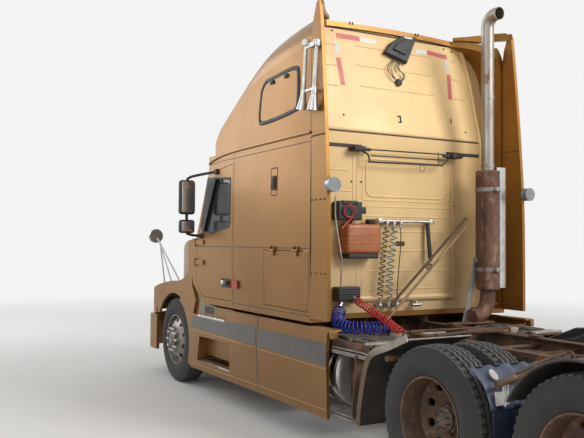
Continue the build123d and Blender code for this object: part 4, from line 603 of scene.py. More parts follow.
# Air and electric lines: name, material slot, outer radius of the coil, pitch and route
LINE_ROUTES = (
    ("cord_red", "red_hose", 0.042, 0.036,
     ((-0.345, 0.655, 1.268), (-0.44, 0.65, 1.236), (-0.6, 0.642, 1.18), (-0.8, 0.64, 1.118),
      (-0.97, 0.648, 1.06), (-1.1, 0.66, 1.015))),
    ("cord_blue", "blue_hose", 0.07, 0.032,
     ((-0.294, 0.795, 1.208), (-0.322, 0.832, 1.134), (-0.4, 0.9, 1.08), (-0.52, 0.9, 1.04),
      (-0.64, 0.8, 1.034), (-0.69, 0.66, 1.034), (-0.69, 0.54, 1.034))),
    ("cord_black", "black_hose", 0.036, 0.05,
     ((-0.283, 0.25, 1.975), (-0.285, 0.258, 1.88), (-0.29, 0.29, 1.74), (-0.293, 0.304, 1.59),
      (-0.291, 0.324, 1.44), (-0.288, 0.33, 1.32), (-0.288, 0.33, 1.24))),
    ("cord_teal", "teal_hose", 0.044, 0.056,
     ((-0.292, 0.165, 1.975), (-0.295, 0.17, 1.88), (-0.298, 0.192, 1.75), (-0.298, 0.214, 1.6),
      (-0.295, 0.22, 1.44), (-0.292, 0.23, 1.32), (-0.292, 0.23, 1.24))),
    ("cord_plain", "black_hose", 0.007, 0.0,
     ((-0.281, 0.08, 1.975), (-0.285, 0.076, 1.89), (-0.29, 0.084, 1.76), (-0.294, 0.104, 1.61),
      (-0.292, 0.118, 1.45), (-0.288, 0.126, 1.33), (-0.288, 0.126, 1.24))),
)


def spline_curve(name, points, depth=0.0):
    """A curve of one smooth open spline with these control points."""
    data = bpy.data.curves.new(name, "CURVE")
    data.dimensions = "3D"
    data.bevel_depth = depth
    data.bevel_resolution = 2
    data.use_fill_caps = True
    spline = data.splines.new("NURBS")
    spline.points.add(len(points) - 1)
    flat = np.concatenate([np.asarray(points, float), np.ones((len(points), 1))], axis=1)
    spline.points.foreach_set("co", flat.ravel())
    spline.order_u = 3
    spline.use_endpoint_u = True
    spline.resolution_u = 12
    return data


def route_points(points, count):
    """The smooth line of a route, read from its spline and spaced evenly."""
    data = spline_curve("route", points)
    data.splines[0].resolution_u = 24
    holder = bpy.data.objects.new("route", data)
    bpy.context.scene.collection.objects.link(holder)
    mesh = bpy.data.meshes.new_from_object(holder)
    line = np.zeros(len(mesh.vertices) * 3)
    mesh.vertices.foreach_get("co", line)
    line = line.reshape(-1, 3)
    bpy.data.objects.remove(holder)
    bpy.data.meshes.remove(mesh)
    bpy.data.curves.remove(data)
    reach = np.concatenate([[0.0], np.cumsum(np.linalg.norm(np.diff(line, axis=0), axis=1))])
    share = np.linspace(0, reach[-1], count)
    return np.stack([np.interp(share, reach, line[:, axis]) for axis in range(3)], axis=-1), reach[-1]


def coil_points(route, radius, pitch):
    """Turns about a route: point = route + radius * (cos turn * first + sin turn * second), the radius growing
    from nothing over the first turn and going back over the last."""
    line, length = route_points(route, 400)
    turns = max(2, round(length / pitch))
    line, length = route_points(route, turns * 14 + 1)
    tangent = np.gradient(line, axis=0)
    tangent /= np.linalg.norm(tangent, axis=1)[:, None]
    overall = line[-1] - line[0]
    hint = np.eye(3)[int(np.argmin(np.abs(overall)))]
    first = np.cross(tangent, hint)
    first /= np.linalg.norm(first, axis=1)[:, None]
    second = np.cross(tangent, first)
    share = np.linspace(0, 1, len(line))
    swing = radius * np.clip(share * turns, 0, 1) * np.clip((1 - share) * turns, 0, 1)
    swing *= 1 + 0.06 * np.sin(share * 23.0) + 0.04 * np.sin(share * 57.0 + 1.0)
    turn = 2 * np.pi * turns * share + 0.35 * np.sin(share * 17.0)
    return (line + swing[:, None] * (np.cos(turn)[:, None] * first + np.sin(turn)[:, None] * second))


class TRUCK_OT_lines(bpy.types.Operator):
    """Air and electric lines between the rear wall and their fittings"""
    bl_idname = "truck.lines"
    bl_label = "Air and electric lines"

    def execute(self, context):
        sizes = settings("truck_lines")
        for name, slot, outer, pitch, route in LINE_ROUTES:
            air = slot in ("red_hose", "blue_hose")
            thick = sizes.hose if air else sizes.wire
            if pitch:
                points = coil_points(route, (outer - thick / 2) / 1.1, pitch)
            else:
                points = np.asarray(route, float)
            line, length = route_points(points, 40)
            data = spline_curve(name + "_line", points, thick / 2)
            data.materials.append(finish(slot + "_finish"))
            made = bpy.data.objects.new(name + "_line", data)
            context.scene.collection.objects.link(made)
            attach(made, "root")
            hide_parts(name)
        return {"FINISHED"}


# Tyres
TYRE_R = 0.54
TREAD_HALF = 0.112
BEAD_HALF = 0.111
BEAD_R = 0.3115
SIDEWALL_TOP = 0.52
GROOVES = (-0.066, -0.023, 0.023, 0.066)


def tyre(x, y, zigzag, repeats, depth, width):
    """One tyre as a grid of angle and place across. The sidewall's width is bead + bulge * sin of the share of its
    height. The tread sinks by the depth between groove edges that wander sideways as a triangle wave of the
    angle. The shoulders are notched on every other half repeat, and the inside runs straight from bead to bead."""
    fractions = np.array([0.0, 0.46, 0.5, 0.96])
    share = ((np.arange(repeats)[:, None] + fractions) / repeats).ravel()
    angle = 2 * np.pi * share
    wave = np.tile([1.0, -0.8, -1.0, 0.8], repeats) * zigzag
    notch = np.tile([0.0, 0.0, 1.0, 1.0], repeats) * 0.007
    height = np.linspace(0.0, 1.0, 15)
    side_r = BEAD_R + (SIDEWALL_TOP - BEAD_R) * height
    side_a = BEAD_HALF + 0.027 * np.sin(np.pi * np.clip(height, 0, 1) ** 0.85)
    side_a = side_a + 0.0022 * np.exp(-((height - 0.16) / 0.035) ** 2) + 0.0018 * np.exp(-((height - 0.8) / 0.03) ** 2)
    edges = np.array([(centre + sign * width * part, drop) for centre in GROOVES
                      for sign, part, drop in ((-1, 0.5, 0.0), (-1, 0.32, 1.0), (1, 0.32, 1.0), (1, 0.5, 0.0))])
    tread_a = np.concatenate([[-TREAD_HALF, -0.095], edges[:, 0], [0.095, TREAD_HALF]])
    tread_drop = np.concatenate([[0.0, 0.0], edges[:, 1], [0.0, 0.0]])
    tread_moves = np.concatenate([[0.0, 0.0], np.ones(len(edges)), [0.0, 0.0]])
    tread_notch = np.concatenate([[1.0, 0.9], np.zeros(len(edges)), [0.9, 1.0]])
    crown = TYRE_R - 0.012 * (tread_a / TREAD_HALF) ** 2
    rows = len(share)
    left = np.broadcast_to(np.stack([-side_a, side_r], axis=-1), (rows, len(height), 2))
    right = np.broadcast_to(np.stack([side_a[::-1], side_r[::-1]], axis=-1), (rows, len(height), 2))
    across_tread = tread_a + wave[:, None] * tread_moves
    round_tread = crown - depth * tread_drop - notch[:, None] * tread_notch
    profile = np.concatenate([left, np.stack([across_tread, round_tread], axis=-1), right], axis=1)
    points = np.stack([x + profile[..., 1] * np.cos(angle)[:, None], y + profile[..., 0],
                       AXLE_Z + profile[..., 1] * np.sin(angle)[:, None]], axis=-1)
    return grid(points, close_rows=True, close_columns=True)


def dress_tread(made, x, centres):
    """Grey on the tread's blocks and, as painted shade, a black darker than the tyre's own in its grooves, chosen
    by each face's distance from the axle and from the tyre's middle."""
    mesh = made.data
    mesh.materials.append(finish("dusty_tread_rubber"))
    mesh.materials.append(finish("groove_rubber"))
    middle = np.zeros(len(mesh.polygons) * 3)
    mesh.polygons.foreach_get("center", middle)
    middle = middle.reshape(-1, 3)
    radius = np.hypot(middle[:, 0] - x, middle[:, 2] - AXLE_Z)
    aside = np.min(np.abs(middle[:, 1:2] - np.asarray(centres)[None]), axis=1)
    crown = TYRE_R - 0.012 * (aside / TREAD_HALF) ** 2
    index = np.where((radius > SIDEWALL_TOP - 0.002) & (aside < TREAD_HALF), 1, 0)
    # Faces sunk in the grooves get the painted shade
    index = np.where((index == 1) & (radius < crown - 0.0035) & (aside < 0.09), 2, index)
    mesh.polygons.foreach_set("material_index", index.astype(np.int32))


class TRUCK_OT_tyres(bpy.types.Operator):
    """Grooved tyres in place of the plain ones"""
    bl_idname = "truck.tyres"
    bl_label = "Tyres"

    def execute(self, context):
        sizes = settings("truck_tyres")
        for side, sign in SIDES:
            y = sign * FRONT_WHEEL_Y
            shape = tyre(FRONT_X, y, 0.0015, sizes.repeats, sizes.groove_depth, sizes.groove_width)
            made = piece(f"front_tyre_tread_{side}", [shape], "worn_tyre_rubber", f"front_wheel_{side}_body")
            dress_tread(made, FRONT_X, [y])
            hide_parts(f"front_tyre_{side}")
            for number, x in enumerate(DRIVE_X, start=1):
                shapes = [tyre(x, sign * (DUAL_Y + offset), sizes.zigzag, sizes.repeats, sizes.groove_depth,
                               sizes.groove_width) for offset in (DUAL_SPACING / 2, -DUAL_SPACING / 2)]
                made = piece(f"drive_tyre_treads_{number}_{side}", shapes, "worn_tyre_rubber",
                             f"drive_wheel_{number}_{side}_body")
                dress_tread(made, x, [sign * (DUAL_Y - DUAL_SPACING / 2), sign * (DUAL_Y + DUAL_SPACING / 2)])
                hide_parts(f"drive_tyres_{number}_{side}")
        return {"FINISHED"}


# Rear wall: places across and heights on its face, in metres
LEAN_Z, LEAN = 2.89, 0.198
# Ribs as place across at each end and height, and upright ones as place across and both heights
WALL_RIBS = ((0.459, -0.512, 3.785), (0.466, -0.504, 3.579), (0.468, -0.486, 3.364), (0.93, 0.694, 3.76),
             (0.95, 0.712, 3.545), (0.97, 0.72, 3.338), (-0.782, -0.849, 3.775), (-0.751, -0.866, 3.568),
             (-0.75, -0.881, 3.353), (0.93, 0.659, 2.508), (0.93, 0.635, 2.308), (0.446, -0.593, 2.167),
             (0.446, -0.593, 2.07), (0.446, -0.593, 1.92), (0.446, -0.593, 1.73), (0.446, -0.593, 1.53),
             (0.446, -0.593, 1.35), (0.47, -0.6, 2.226))
WALL_UPRIGHTS = ((0.6, 2.69, 2.22), (0.555, 2.7, 1.22), (0.49, 2.69, 1.22), (-0.661, 2.64, 1.22))
PANEL_EDGE = ((1.045, 1.2), (1.04, 2.2), (1.035, 2.854), (1.018, 3.17), (1.005, 3.48), (0.97, 3.79), (0.935, 3.9),
              (0.86, 3.955), (0.76, 3.962))
PANEL_RETURN = ((-0.5, 2.668), (-0.59, 2.63), (-0.612, 2.55), (-0.6, 2.3), (-0.59, 2.245))
# Left, right, low and high edge of the window's panel
WINDOW_PANEL = (0.448, -0.552, 2.265, 2.632)
# Tapes by finish: centre across and height, width, height, tilt in degrees
TAPES = {"red": ((0.542, 3.863, 0.277, 0.052, 0), (0.673, 3.49, 0.052, 0.285, 5),
                 (-0.597, 3.826, 0.268, 0.05, -5), (-0.712, 3.48, 0.052, 0.285, -5)),
         "white": ((0.295, 3.858, 0.2, 0.05, 0), (0.683, 3.735, 0.052, 0.125, 4),
                   (-0.384, 3.832, 0.15, 0.05, 0), (-0.715, 3.715, 0.052, 0.12, -4))}
# Dark slots: width, height, centre across and height, thickness
WALL_SLOTS = ((2.04, 0.012, 0.0, LEAN_Z - 0.006, 0.004), (0.4, 0.034, 0.7, 2.745, 0.006),
              (0.46, 0.034, -0.795, 2.745, 0.006), (0.014, 0.07, 0.004, 3.058, 0.006),
              (0.04, 0.014, 0.017, 3.09, 0.006), (0.036, 0.012, 0.014, 3.028, 0.006), (1.62, 0.01, 0.0, 3.94, 0.004),
              (0.012, 0.05, -0.667, 3.1, 0.004))
WALL_HOLES = ((0.693, 3.046), (0.62, 2.397), (-0.671, 2.2), (0.507, 2.4), (-0.85, 2.99), (0.725, 3.905),
              (-0.7, 3.905), (-0.81, 3.89))
TOP_SLOTS_Y = (0.53, 0.495, -0.3, -0.335)


def wall_x(z):
    """X of the rear wall's face at a height: upright, then leaning forwards."""
    return WALL_X + np.maximum(0.0, np.asarray(z, float) - LEAN_Z) * LEAN


def on_wall(points, out=0.0):
    """Places on the rear wall's face, set out from it, from pairs of place across and height."""
    flat = np.asarray(points, float)
    return np.stack([wall_x(flat[:, 1]) - out, flat[:, 0], flat[:, 1]], axis=-1)


def wall_plate(outline, centre, thick, out=0.0, bevel=0.0):
    """A plate lying on the rear wall, its outline set out to the right and up from the centre."""
    tilt = math.atan(LEAN) if centre[1] > LEAN_Z else 0.0
    origin = on_wall([centre], out + thick / 2)[0]
    return plate(outline, origin, (0.0, -1.0, 0.0), (math.sin(tilt), 0.0, math.cos(tilt)), thick, bevel)


def wall_bead(points, radius, flat, out=0.0, sides=8):
    """A flattened bead along places on the rear wall."""
    return swept(on_wall(points, out), circle(radius, sides, flat), (1, 0, 0))


def turned(outline, degrees):
    """An outline turned about its own origin."""
    angle = math.radians(degrees)
    turn = np.array([[math.cos(angle), math.sin(angle)], [-math.sin(angle), math.cos(angle)]])
    return np.asarray(outline, float) @ turn


def box_outline(width, height):
    """The corners of a rectangle about the origin."""
    return np.array([[width, height], [-width, height], [-width, -height], [width, -height]]) / 2


def line_between(points, step=0.05):
    """Evenly spaced places along straight runs."""
    points = np.asarray(points, float)
    runs = [straight(start, end, max(2, int(np.linalg.norm(end - start) / step) + 1))
            for start, end in zip(points, points[1:])]
    return np.concatenate([runs[0]] + [run[1:] for run in runs[1:]])


def arc_points(centre, radius, first, second, start, end, count):
    """Points on an arc between two angles: centre + radius * (cos angle * first + sin angle * second)."""
    angle = np.radians(np.linspace(start, end, count))[:, None]
    return (np.asarray(centre, float) + radius * (np.cos(angle) * np.asarray(first, float)
                                                  + np.sin(angle) * np.asarray(second, float)))


def smooth_path(points, count=24):
    """A curve through every point, with the slope of the neighbours' chord at each."""
    points = np.asarray(points, float)
    wide = np.concatenate([[2 * points[0] - points[1]], points, [2 * points[-1] - points[-2]]])
    share = np.linspace(0, len(points) - 1, count)
    index = np.minimum(share.astype(int), len(points) - 2)
    s = (share - index)[:, None]
    p0, p1, p2, p3 = (wide[index + k] for k in range(4))
    return p1 + 0.5 * s * ((p2 - p0) + s * (2 * p0 - 5 * p1 + 4 * p2 - p3 + s * (3 * (p1 - p2) + p3 - p0)))


class TRUCK_OT_wall(bpy.types.Operator):
    """Ribs, window panel, tapes and seams of the rear wall"""
    bl_idname = "truck.wall"
    bl_label = "Rear wall"

    def execute(self, context):
        rib = settings("truck_trim").rib
        shapes = [wall_bead(straight((y0, z), (y1, z), 12), rib, 0.6) for y0, y1, z in WALL_RIBS]
        shapes += [wall_bead(straight((y, z0), (y, z1), 4), rib * 0.7, 0.6) for y, z0, z1 in WALL_UPRIGHTS]
        shapes += [wall_bead(smooth_path(PANEL_EDGE, 48) * (side, 1), 0.022, 0.9, 0.004) for side in (1, -1)]
        left, right, low, high = WINDOW_PANEL
        outline = rounded_outline(left - right, high - low, 0.075, 6) + ((left + right) / 2, (low + high) / 2)
        shapes += [wall_bead(np.concatenate([outline, outline[:1]]), 0.012, 0.7),
                   wall_bead(smooth_path(PANEL_RETURN, 20), 0.01, 0.7),
                   wall_bead(straight((1.02, LEAN_Z + 0.012), (-1.02, LEAN_Z + 0.012), 3), 0.015, 0.8),
                   wall_bead(straight((0.62, 1.262), (-0.66, 1.262), 3), 0.032, 0.8, 0.012, 10)]
        piece("wall_ribs", shapes, "cream_gold_paint")
        for kind, rows in TAPES.items():
            tapes = [wall_plate(turned(box_outline(wide, tall), tilt), (y, z), 0.0015)
                     for y, z, wide, tall, tilt in rows]
            piece(f"wall_tape_{kind}", tapes, f"{kind}_reflective_tape", smooth=False)
        dark = [wall_plate(box_outline(wide, tall), (y, z), thick) for wide, tall, y, z, thick in WALL_SLOTS]
        dark += [wall_plate(rounded_outline(0.02, 0.02, 0.009, 3), place, 0.004) for place in WALL_HOLES]
        dark += [plate(rounded_outline(0.016, 0.03, 0.007, 3), (-0.0335, y, 4.002), (0, -1, 0), (0, 0, 1), 0.004)
                 for y in TOP_SLOTS_Y]
        piece("wall_slots_and_seams", dark, "worn_black_steel", smooth=False)
        worn = wall_plate(rounded_outline(0.12, 0.05, 0.02, 3), (0.03, 1.8), 0.0012)
        piece("wall_worn_patch", [worn], "rusty_wheel_steel", smooth=False)
        return {"FINISHED"}


# Fittings on the rear wall: distance behind it, place across and height
HOSE_BAR = ((0.03, 0.52, 2.7), (0.09, 0.49, 2.66), (0.1, 0.475, 2.6), (0.1, 0.45, 2.59), (0.1, 0.0, 2.597),
            (0.1, -0.38, 2.604), (0.1, -0.43, 2.61), (0.09, -0.52, 2.68), (0.03, -0.56, 2.7))
# Straight bars: both ends, radius and sides
HOSE_BARS = (((0.075, 0.5, 2.712), (0.075, -0.56, 2.722), 0.007, 8),
             ((0.09, 0.455, 2.652), (0.09, -0.46, 2.66), 0.006, 8),
             ((0.09, -0.385, 2.74), (0.09, -0.385, 2.6), 0.004, 6))
# Boxes as boxes() takes them
WALL_BOXES = ((0.125, 0.002, 0.575, 0.845, 2.02, 2.196, 0.012), (0.135, 0.003, 0.63, 0.8, 2.165, 2.205, 0.008),
              (0.115, 0.02, 0.52, 0.59, 2.085, 2.15, 0.01), (0.112, 0.002, 0.58, 0.832, 1.252, 1.388, 0.01),
              (0.15, 0.002, 0.4, 0.74, 1.655, 1.705, 0.012))
TANK_BOXES = ((0.172, 0.01, 0.378, 0.772, 1.702, 1.985, 0.035, 5), (0.176, 0.008, 0.374, 0.776, 1.88, 1.892, 0.005, 2),
              (0.176, 0.008, 0.374, 0.776, 1.8, 1.808, 0.003, 2), (0.1, 0.06, 0.64, 0.68, 1.98, 2.01, 0.008))
WALL_ROD = ((0.2, 0.93, 2.24), (0.16, 0.9, 2.02), (0.17, 0.85, 1.72), (0.16, 0.83, 1.62), (0.13, 0.82, 1.4))
LOOP_TAIL = ((0.15, 0.7, 2.06), (0.15, 0.76, 2.0), (0.16, 0.83, 1.94))
# A line's end fitting, as distance and radius, the radius in shares of the fitting's
END_PROFILE = ((-0.012, 0.7), (-0.01, 1.0), (0.018, 1.0), (0.02, 1.3), (0.042, 1.3), (0.044, 0.8))
CABLES = ("cord_black", "cord_teal", "cord_plain")
SOCKETS = ((0.25, 2.01), (0.165, 2.01), (0.08, 2.01), (0.33, 1.195), (0.23, 1.195), (0.126, 1.195))
LAMP_EDGE = ((0.141, 3.742), (0.045, 3.863), (-0.114, 3.961), (-0.315, 3.977), (-0.134, 3.656))


class TRUCK_OT_fittings(bpy.types.Operator):
    """Hose bars, boxes, washer tank, rail and the loose lamp on the rear wall"""
    bl_idname = "truck.fittings"
    bl_label = "Wall fittings"

    def execute(self, context):
        x = WALL_X
        bars = [tube(back_from(x, start, end), radius, sides) for start, end, radius, sides in HOSE_BARS]
        bars.insert(1, tube(smooth_path(back_from(x, *HOSE_BAR), 60), 0.009, 8, (0, 0.1, 1)))
        bars.append(tube(arc_points((x - 0.095, -0.17, 2.56), 0.034, (0, 1, 0), (0, 0, 1), 0, 360, 24), 0.0025, 6,
                         (1, 0, 0)))
        for y, turn in ((0.6, 1), (-0.62, -1)):
            middle = y - 0.11 * turn
            bars += boxes(x, (0.115, 0.001, y - 0.075, y + 0.055, 2.69, 2.735, 0.006),
                          (0.09, 0.05, middle - 0.04, middle + 0.04, 2.695, 2.725, 0.005))
        made = piece("hose_bars", bars, "worn_black_steel")
        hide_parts("hose_rail")
        black = [*boxes(x, *WALL_BOXES),
                 lathe(((0.0, 0.045), (0.012, 0.05), (0.04, 0.05), (0.048, 0.04)), (x - 0.085, 0.455, 1.985),
                       (0, 0, 1), 24),
                 tube(back_from(x, (0.045, -0.283, 2.0), (0.072, -0.3, 1.62)), 0.021, 12)]
        for z in 1.275 + 0.022 * np.arange(5):
            black += boxes(x, (0.118, 0.108, 0.59, 0.822, z, z + 0.01, 0.003, 2))
        made = piece("wall_boxes", black, "moulded_black_plastic")
        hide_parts("wall_fittings")
        piece("washer_tank", boxes(x, *TANK_BOXES), "terracotta_tank_plastic")
        rail = [tube(back_from(x, (0.07, 0.34, 2.022), (0.07, -0.325, 2.024)), 0.015, 12),
                *boxes(x, *[(0.085, 0.001, y - 0.03, y + 0.03, 2.0, 2.046, 0.008) for y in (0.325, -0.31)]),
                tube(smooth_path(back_from(x, *WALL_ROD), 24), 0.008, 8)]
        piece("wall_rail_and_rod", rail, "bright_bar_metal")
        loop = arc_points((x - 0.15, 0.74, 2.105), 0.056, (0.15, 1, 0), (-0.2, 0, 1), 0, 864, 60)
        piece("red_hose_loop", [tube(loop, 0.007, 8, (1, 0, 0)),
                                tube(smooth_path(back_from(x, *LOOP_TAIL), 12), 0.007, 8)],
              "red_hose_finish")
        ends = []
        for name, _, _, _, route in LINE_ROUTES:
            profile = np.array(END_PROFILE) * (1.0, 0.012 if name in CABLES else 0.018)
            for place, following in ((route[0], route[1]), (route[-1], route[-2])):
                ends.append(lathe(profile, place, np.subtract(place, following), 16))
        ends += boxes(x, *[(0.095, 0.001, y - 0.018, y + 0.018, z - 0.022, z + 0.022, 0.006) for y, z in SOCKETS])
        ends.append(lathe(((0.0, 0.012), (0.004, 0.018), (0.11, 0.018), (0.114, 0.012)), (x - 0.075, -0.06, 1.192),
                          (0, -1, 0), 16))
        ends += boxes(x, (0.085, 0.001, -0.125, -0.105, 1.19, 1.228, 0.004))
        piece("line_ends", ends, "bright_bar_metal")
        centre = np.mean(LAMP_EDGE, axis=0)
        outline = (LAMP_EDGE - centre) * (-1, 1)
        lamp = [wall_plate(outline * 0.985, tuple(centre), 0.045, 0.012, 0.012),
                wall_plate(outline * 0.55, tuple(centre), 0.03, 0.045, 0.012),
                lathe(((0.0, 0.028), (0.01, 0.038), (0.024, 0.038), (0.032, 0.022)),
                      on_wall([(-0.019, 3.446)])[0], (-1, 0, 0.19), 24)]
        for offset in (-0.012, 0.0, 0.014):
            for wire, count in ((((-0.03 + offset, 3.72), (0.085 + 2 * offset, 3.6), (0.06 + offset, 3.5),
                                  (-0.015, 3.446)), 24),
                                (((-0.06, 3.7), (-0.02 + offset, 3.6), (-0.085 - offset, 3.53), (-0.04, 3.45)), 20)):
                lamp.append(tube(on_wall(smooth_path(wire, count), 0.035), 0.0035, 6, (1, 0, 0)))
        piece("loose_lamp", lamp, "moulded_black_plastic")
        gap = wall_plate(rounded_outline(0.105, 0.02, 0.009, 3), (-0.185, 3.945), 0.004, 0.056)
        piece("loose_lamp_slot", [gap], "white_reflective_tape", smooth=False)
        return {"FINISHED"}


# Sides of the cab: places behind the front axle and heights, in metres
ROOF_WINDOW = ((2.48, 3.344), (2.568, 3.421), (2.698, 3.437), (3.15, 3.457), (3.231, 3.387), (3.217, 3.106),
               (3.131, 3.052), (2.531, 3.018), (2.44, 3.082))
DRIP = ((1.15, 2.715), (1.182, 2.732), (1.3, 2.757), (1.495, 2.782), (1.9, 2.8), (2.6, 2.806), (3.462, 2.81))
DOOR_GLASS = ((0.985, 1.915), (1.243, 1.908), (1.712, 1.977), (1.735, 2.025), (1.735, 2.51), (1.235, 2.545),
              (0.96, 1.99))
PILLAR_TRIM = ((1.11, 2.556), (0.905, 1.992), (0.985, 1.9), (1.352, 2.538))
HANDLE_PLATE = ((1.527, 1.3), (1.742, 1.3), (1.742, 1.398), (1.527, 1.398))
RIVETS = ((3.494, 2.19), (3.555, 2.19), (3.64, 2.19), (3.708, 2.19), (3.484, 1.53), (3.563, 1.53), (3.657, 1.53),
          (3.724, 1.53), (3.516, 1.15), (3.559, 1.15))
# Dark lines on the body's side as runs of places: seams, and painted shade in the run along the crease at 1.752 m and
# in the runs just under the drip moulding and the extender's moulding
SIDE_SEAMS_AND_SHADE = (((1.835, 1.752), (3.464, 1.752)), ((1.2, 2.705), (1.5, 2.722), (3.46, 2.728)),
              ((3.47, 1.13), (3.47, 3.57)), ((1.828, 1.1), (1.828, 2.79)), ((1.8, 1.141), (3.46, 1.138)),
              ((2.2, 1.135), (2.2, 1.085)), ((2.47, 1.135), (2.47, 1.085)), ((3.1, 1.135), (3.1, 1.085)),
              ((3.475, 2.765), (3.715, 2.765)))
# Painted shade along the door's crease at 1.752 m
DOOR_CREASE_SHADE = ((0.8, 1.752), (1.79, 1.752))
SLOT_RING = ((2.7, 2.5), (2.71, 2.532), (2.815, 2.537), (2.832, 2.515), (2.826, 2.3), (2.8, 2.272), (2.725, 2.272),
             (2.7, 2.3), (2.7, 2.5))
SLOT_PLATE = ((2.725, 2.32), (2.8, 2.32), (2.805, 2.46), (2.735, 2.46))
SIDE_LENS = ((1.812, 1.303), (1.967, 1.303), (1.967, 1.39), (1.812, 1.39))
EXTENDER_RIBS = (((-0.65, 1.148, 1.47), (-0.44, 1.1612, 1.486)), ((-0.65, 1.148, 1.524), (-0.44, 1.1612, 1.54)),
                 ((-0.645, 1.153, 1.482), (-0.445, 1.1612, 1.528)))
# Door mirrors: heads, glasses and arms, the arms with their points' count and radius
MIRROR_HEADS = ((0.999, 0.9, 1.302, 1.498, 2.126, 2.534, 0.04, 5), (0.995, 0.905, 1.307, 1.493, 1.906, 2.064, 0.03, 5))
MIRROR_FEET = ((1.402, 1.338, 1.196, 1.224, 2.578, 2.642, 0.008), (0.967, 0.903, 1.2, 1.228, 1.843, 1.907, 0.008))
MIRROR_GLASSES = ((1.003, 0.996, 1.322, 1.478, 2.15, 2.51, 0.003), (0.999, 0.992, 1.325, 1.475, 1.925, 2.045, 0.003))
MIRROR_ARMS = ((((0.95, 1.4, 2.05), (0.95, 1.4, 2.14)), 4, 0.018),
               (((0.95, 1.4, 2.545), (1.05, 1.36, 2.575), (1.37, 1.205, 2.612)), 14, 0.016),
               (((0.95, 1.4, 1.905), (0.94, 1.33, 1.885), (0.935, 1.205, 1.875)), 12, 0.016))


def side_y(z):
    """Half the cab's width at a height."""
    return np.interp(np.asarray(z, float), (1.08, 1.75, 2.8, 3.6), (1.19, 1.2, 1.195, 1.195))


def on_side(points, out=0.0, flush=None):
    """Places on the left side, set out from it, from pairs of distance behind the front axle and height."""
    flat = np.asarray(points, float)
    y = side_y(flat[:, 1]) + out if flush is None else np.full(len(flat), flush)
    return np.stack([FRONT_X - flat[:, 0], y, flat[:, 1]], axis=-1)


def side_bead(points, radius, flat, out=0.0, flush=None):
    """A flattened bead along places on the left side."""
    return swept(on_side(points, out, flush), circle(radius, 8, flat), (0, 1, 0))


def side_plate(points, out, thick=0.002, bevel=0.0, flush=None):
    """A plate on the left side from its corners."""
    flat = np.asarray(points, float)
    centre = flat.mean(axis=0)
    y = (side_y(centre[1]) if flush is None else flush) + out
    outline = (flat - centre) * (-1, 1)
    return plate(outline, (FRONT_X - centre[0], y, centre[1]), (1, 0, 0), (0, 0, 1), -thick, bevel)


class TRUCK_OT_sides(bpy.types.Operator):
    """Mouldings, seams, painted shade lines along the crease and under the mouldings, windows' seals, handles, lamps
    and rivets of the cab's sides
    """
    bl_idname = "truck.sides"
    bl_label = "Cab sides"

    def execute(self, context):
        seam = settings("truck_trim").seam
        mouldings = both(side_bead(smooth_path(DRIP, 60), 0.015, 0.8, 0.004),
                         side_bead(line_between(((3.478, 2.782), (3.712, 2.782)), 0.1), 0.012, 0.5, 0.002))
        seals = both(side_bead(smooth_path((*ROOF_WINDOW, ROOF_WINDOW[0]), 90), 0.022, 0.5, 0.002),
                     *boxes(FRONT_X, *[(place + 0.035, place - 0.035, 1.195, 1.216, z - 0.02, z + 0.018, 0.006)
                                       for place, z in ((2.72, 3.4), (3.009, 3.41))]))
        # Painted shade lines along the crease and under the mouldings go in with the seams
        seams = both(*[side_bead(line_between(run, 0.1), seam, 0.25) for run in SIDE_SEAMS_AND_SHADE],
                     side_bead(smooth_path(SLOT_RING, 60), 0.006, 0.4),
                     side_plate(SLOT_PLATE, 0.006, 0.006, 0.002),
                     *boxes(FRONT_X, (2.78, 2.752, 1.197, 1.214, 2.345, 2.44, 0.006)),
                     rounded_block((-0.655, 1.1572, 2.766), (-0.42, 1.1612, 2.774), 0.0015, 1))
        rivets = both(*[lathe(((-0.001, 0.009), (0.001, 0.009), (0.004, 0.005)), on_side([place])[0], (0, 1, 0), 10)
                        for place in RIVETS])
        piece("side_mouldings", mouldings, "gold_metallic_paint")
        piece("roof_window_seals", seals, "moulded_black_plastic")
        piece("roof_window_panels", both(side_plate(ROOF_WINDOW, 0.0035, 0.003)), "gold_metallic_paint",
              smooth=False)
        piece("extender_ribs", both(*[rounded_block(low, high, 0.004) for low, high in EXTENDER_RIBS]),
              "gold_metallic_paint")
        piece("side_seams", seams, "worn_black_steel")
        piece("side_rivets", rivets, "worn_black_steel")
        piece("side_markers", both(side_plate(SIDE_LENS, 0.012, 0.013, 0.006)), "red_marker_lens")
        fender = rounded_block((FRONT_X + 0.615, 1.196, 0.84), (FRONT_X + 0.73, 1.208, 0.928), 0.005)
        piece("fender_markers", both(fender), "amber_marker_lens", "hood_body")
        # The door's trim also carries a painted shade line along its crease
        black = [side_bead(line_between((*DOOR_GLASS, DOOR_GLASS[0]), 0.02), 0.014, 0.7, -0.004),
                 side_plate(PILLAR_TRIM, 0.004, 0.005, 0.002), side_plate(HANDLE_PLATE, 0.003, 0.004, 0.002),
                 *boxes(FRONT_X, (1.71, 1.62, 1.195, 1.226, 1.325, 1.375, 0.01)),
                 side_bead(line_between(DOOR_CREASE_SHADE, 0.1), seam, 0.25)]
        lock = boxes(FRONT_X, (1.6, 1.54, 1.196, 1.22, 1.325, 1.375, 0.01))
        head = [*boxes(FRONT_X, *MIRROR_HEADS),
                *[tube(smooth_path(back_from(FRONT_X, *path), count), radius, 10)
                  for path, count, radius in MIRROR_ARMS],
                *boxes(FRONT_X, *MIRROR_FEET)]
        for side, sign in SIDES:
            body = f"door_{side}_body"
            piece(f"door_trim_{side}", own_side(sign, black), "moulded_black_plastic", body)
            piece(f"door_lock_{side}", own_side(sign, lock), "bright_bar_metal", body)
            made = piece(f"door_mirror_housing_{side}", own_side(sign, head), "moulded_black_plastic", body)
            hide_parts(f"door_mirror_{side}")
            piece(f"door_mirror_glass_{side}", own_side(sign, boxes(FRONT_X, *MIRROR_GLASSES)),
                  "polished_aluminium_skin", body)
        return {"FINISHED"}


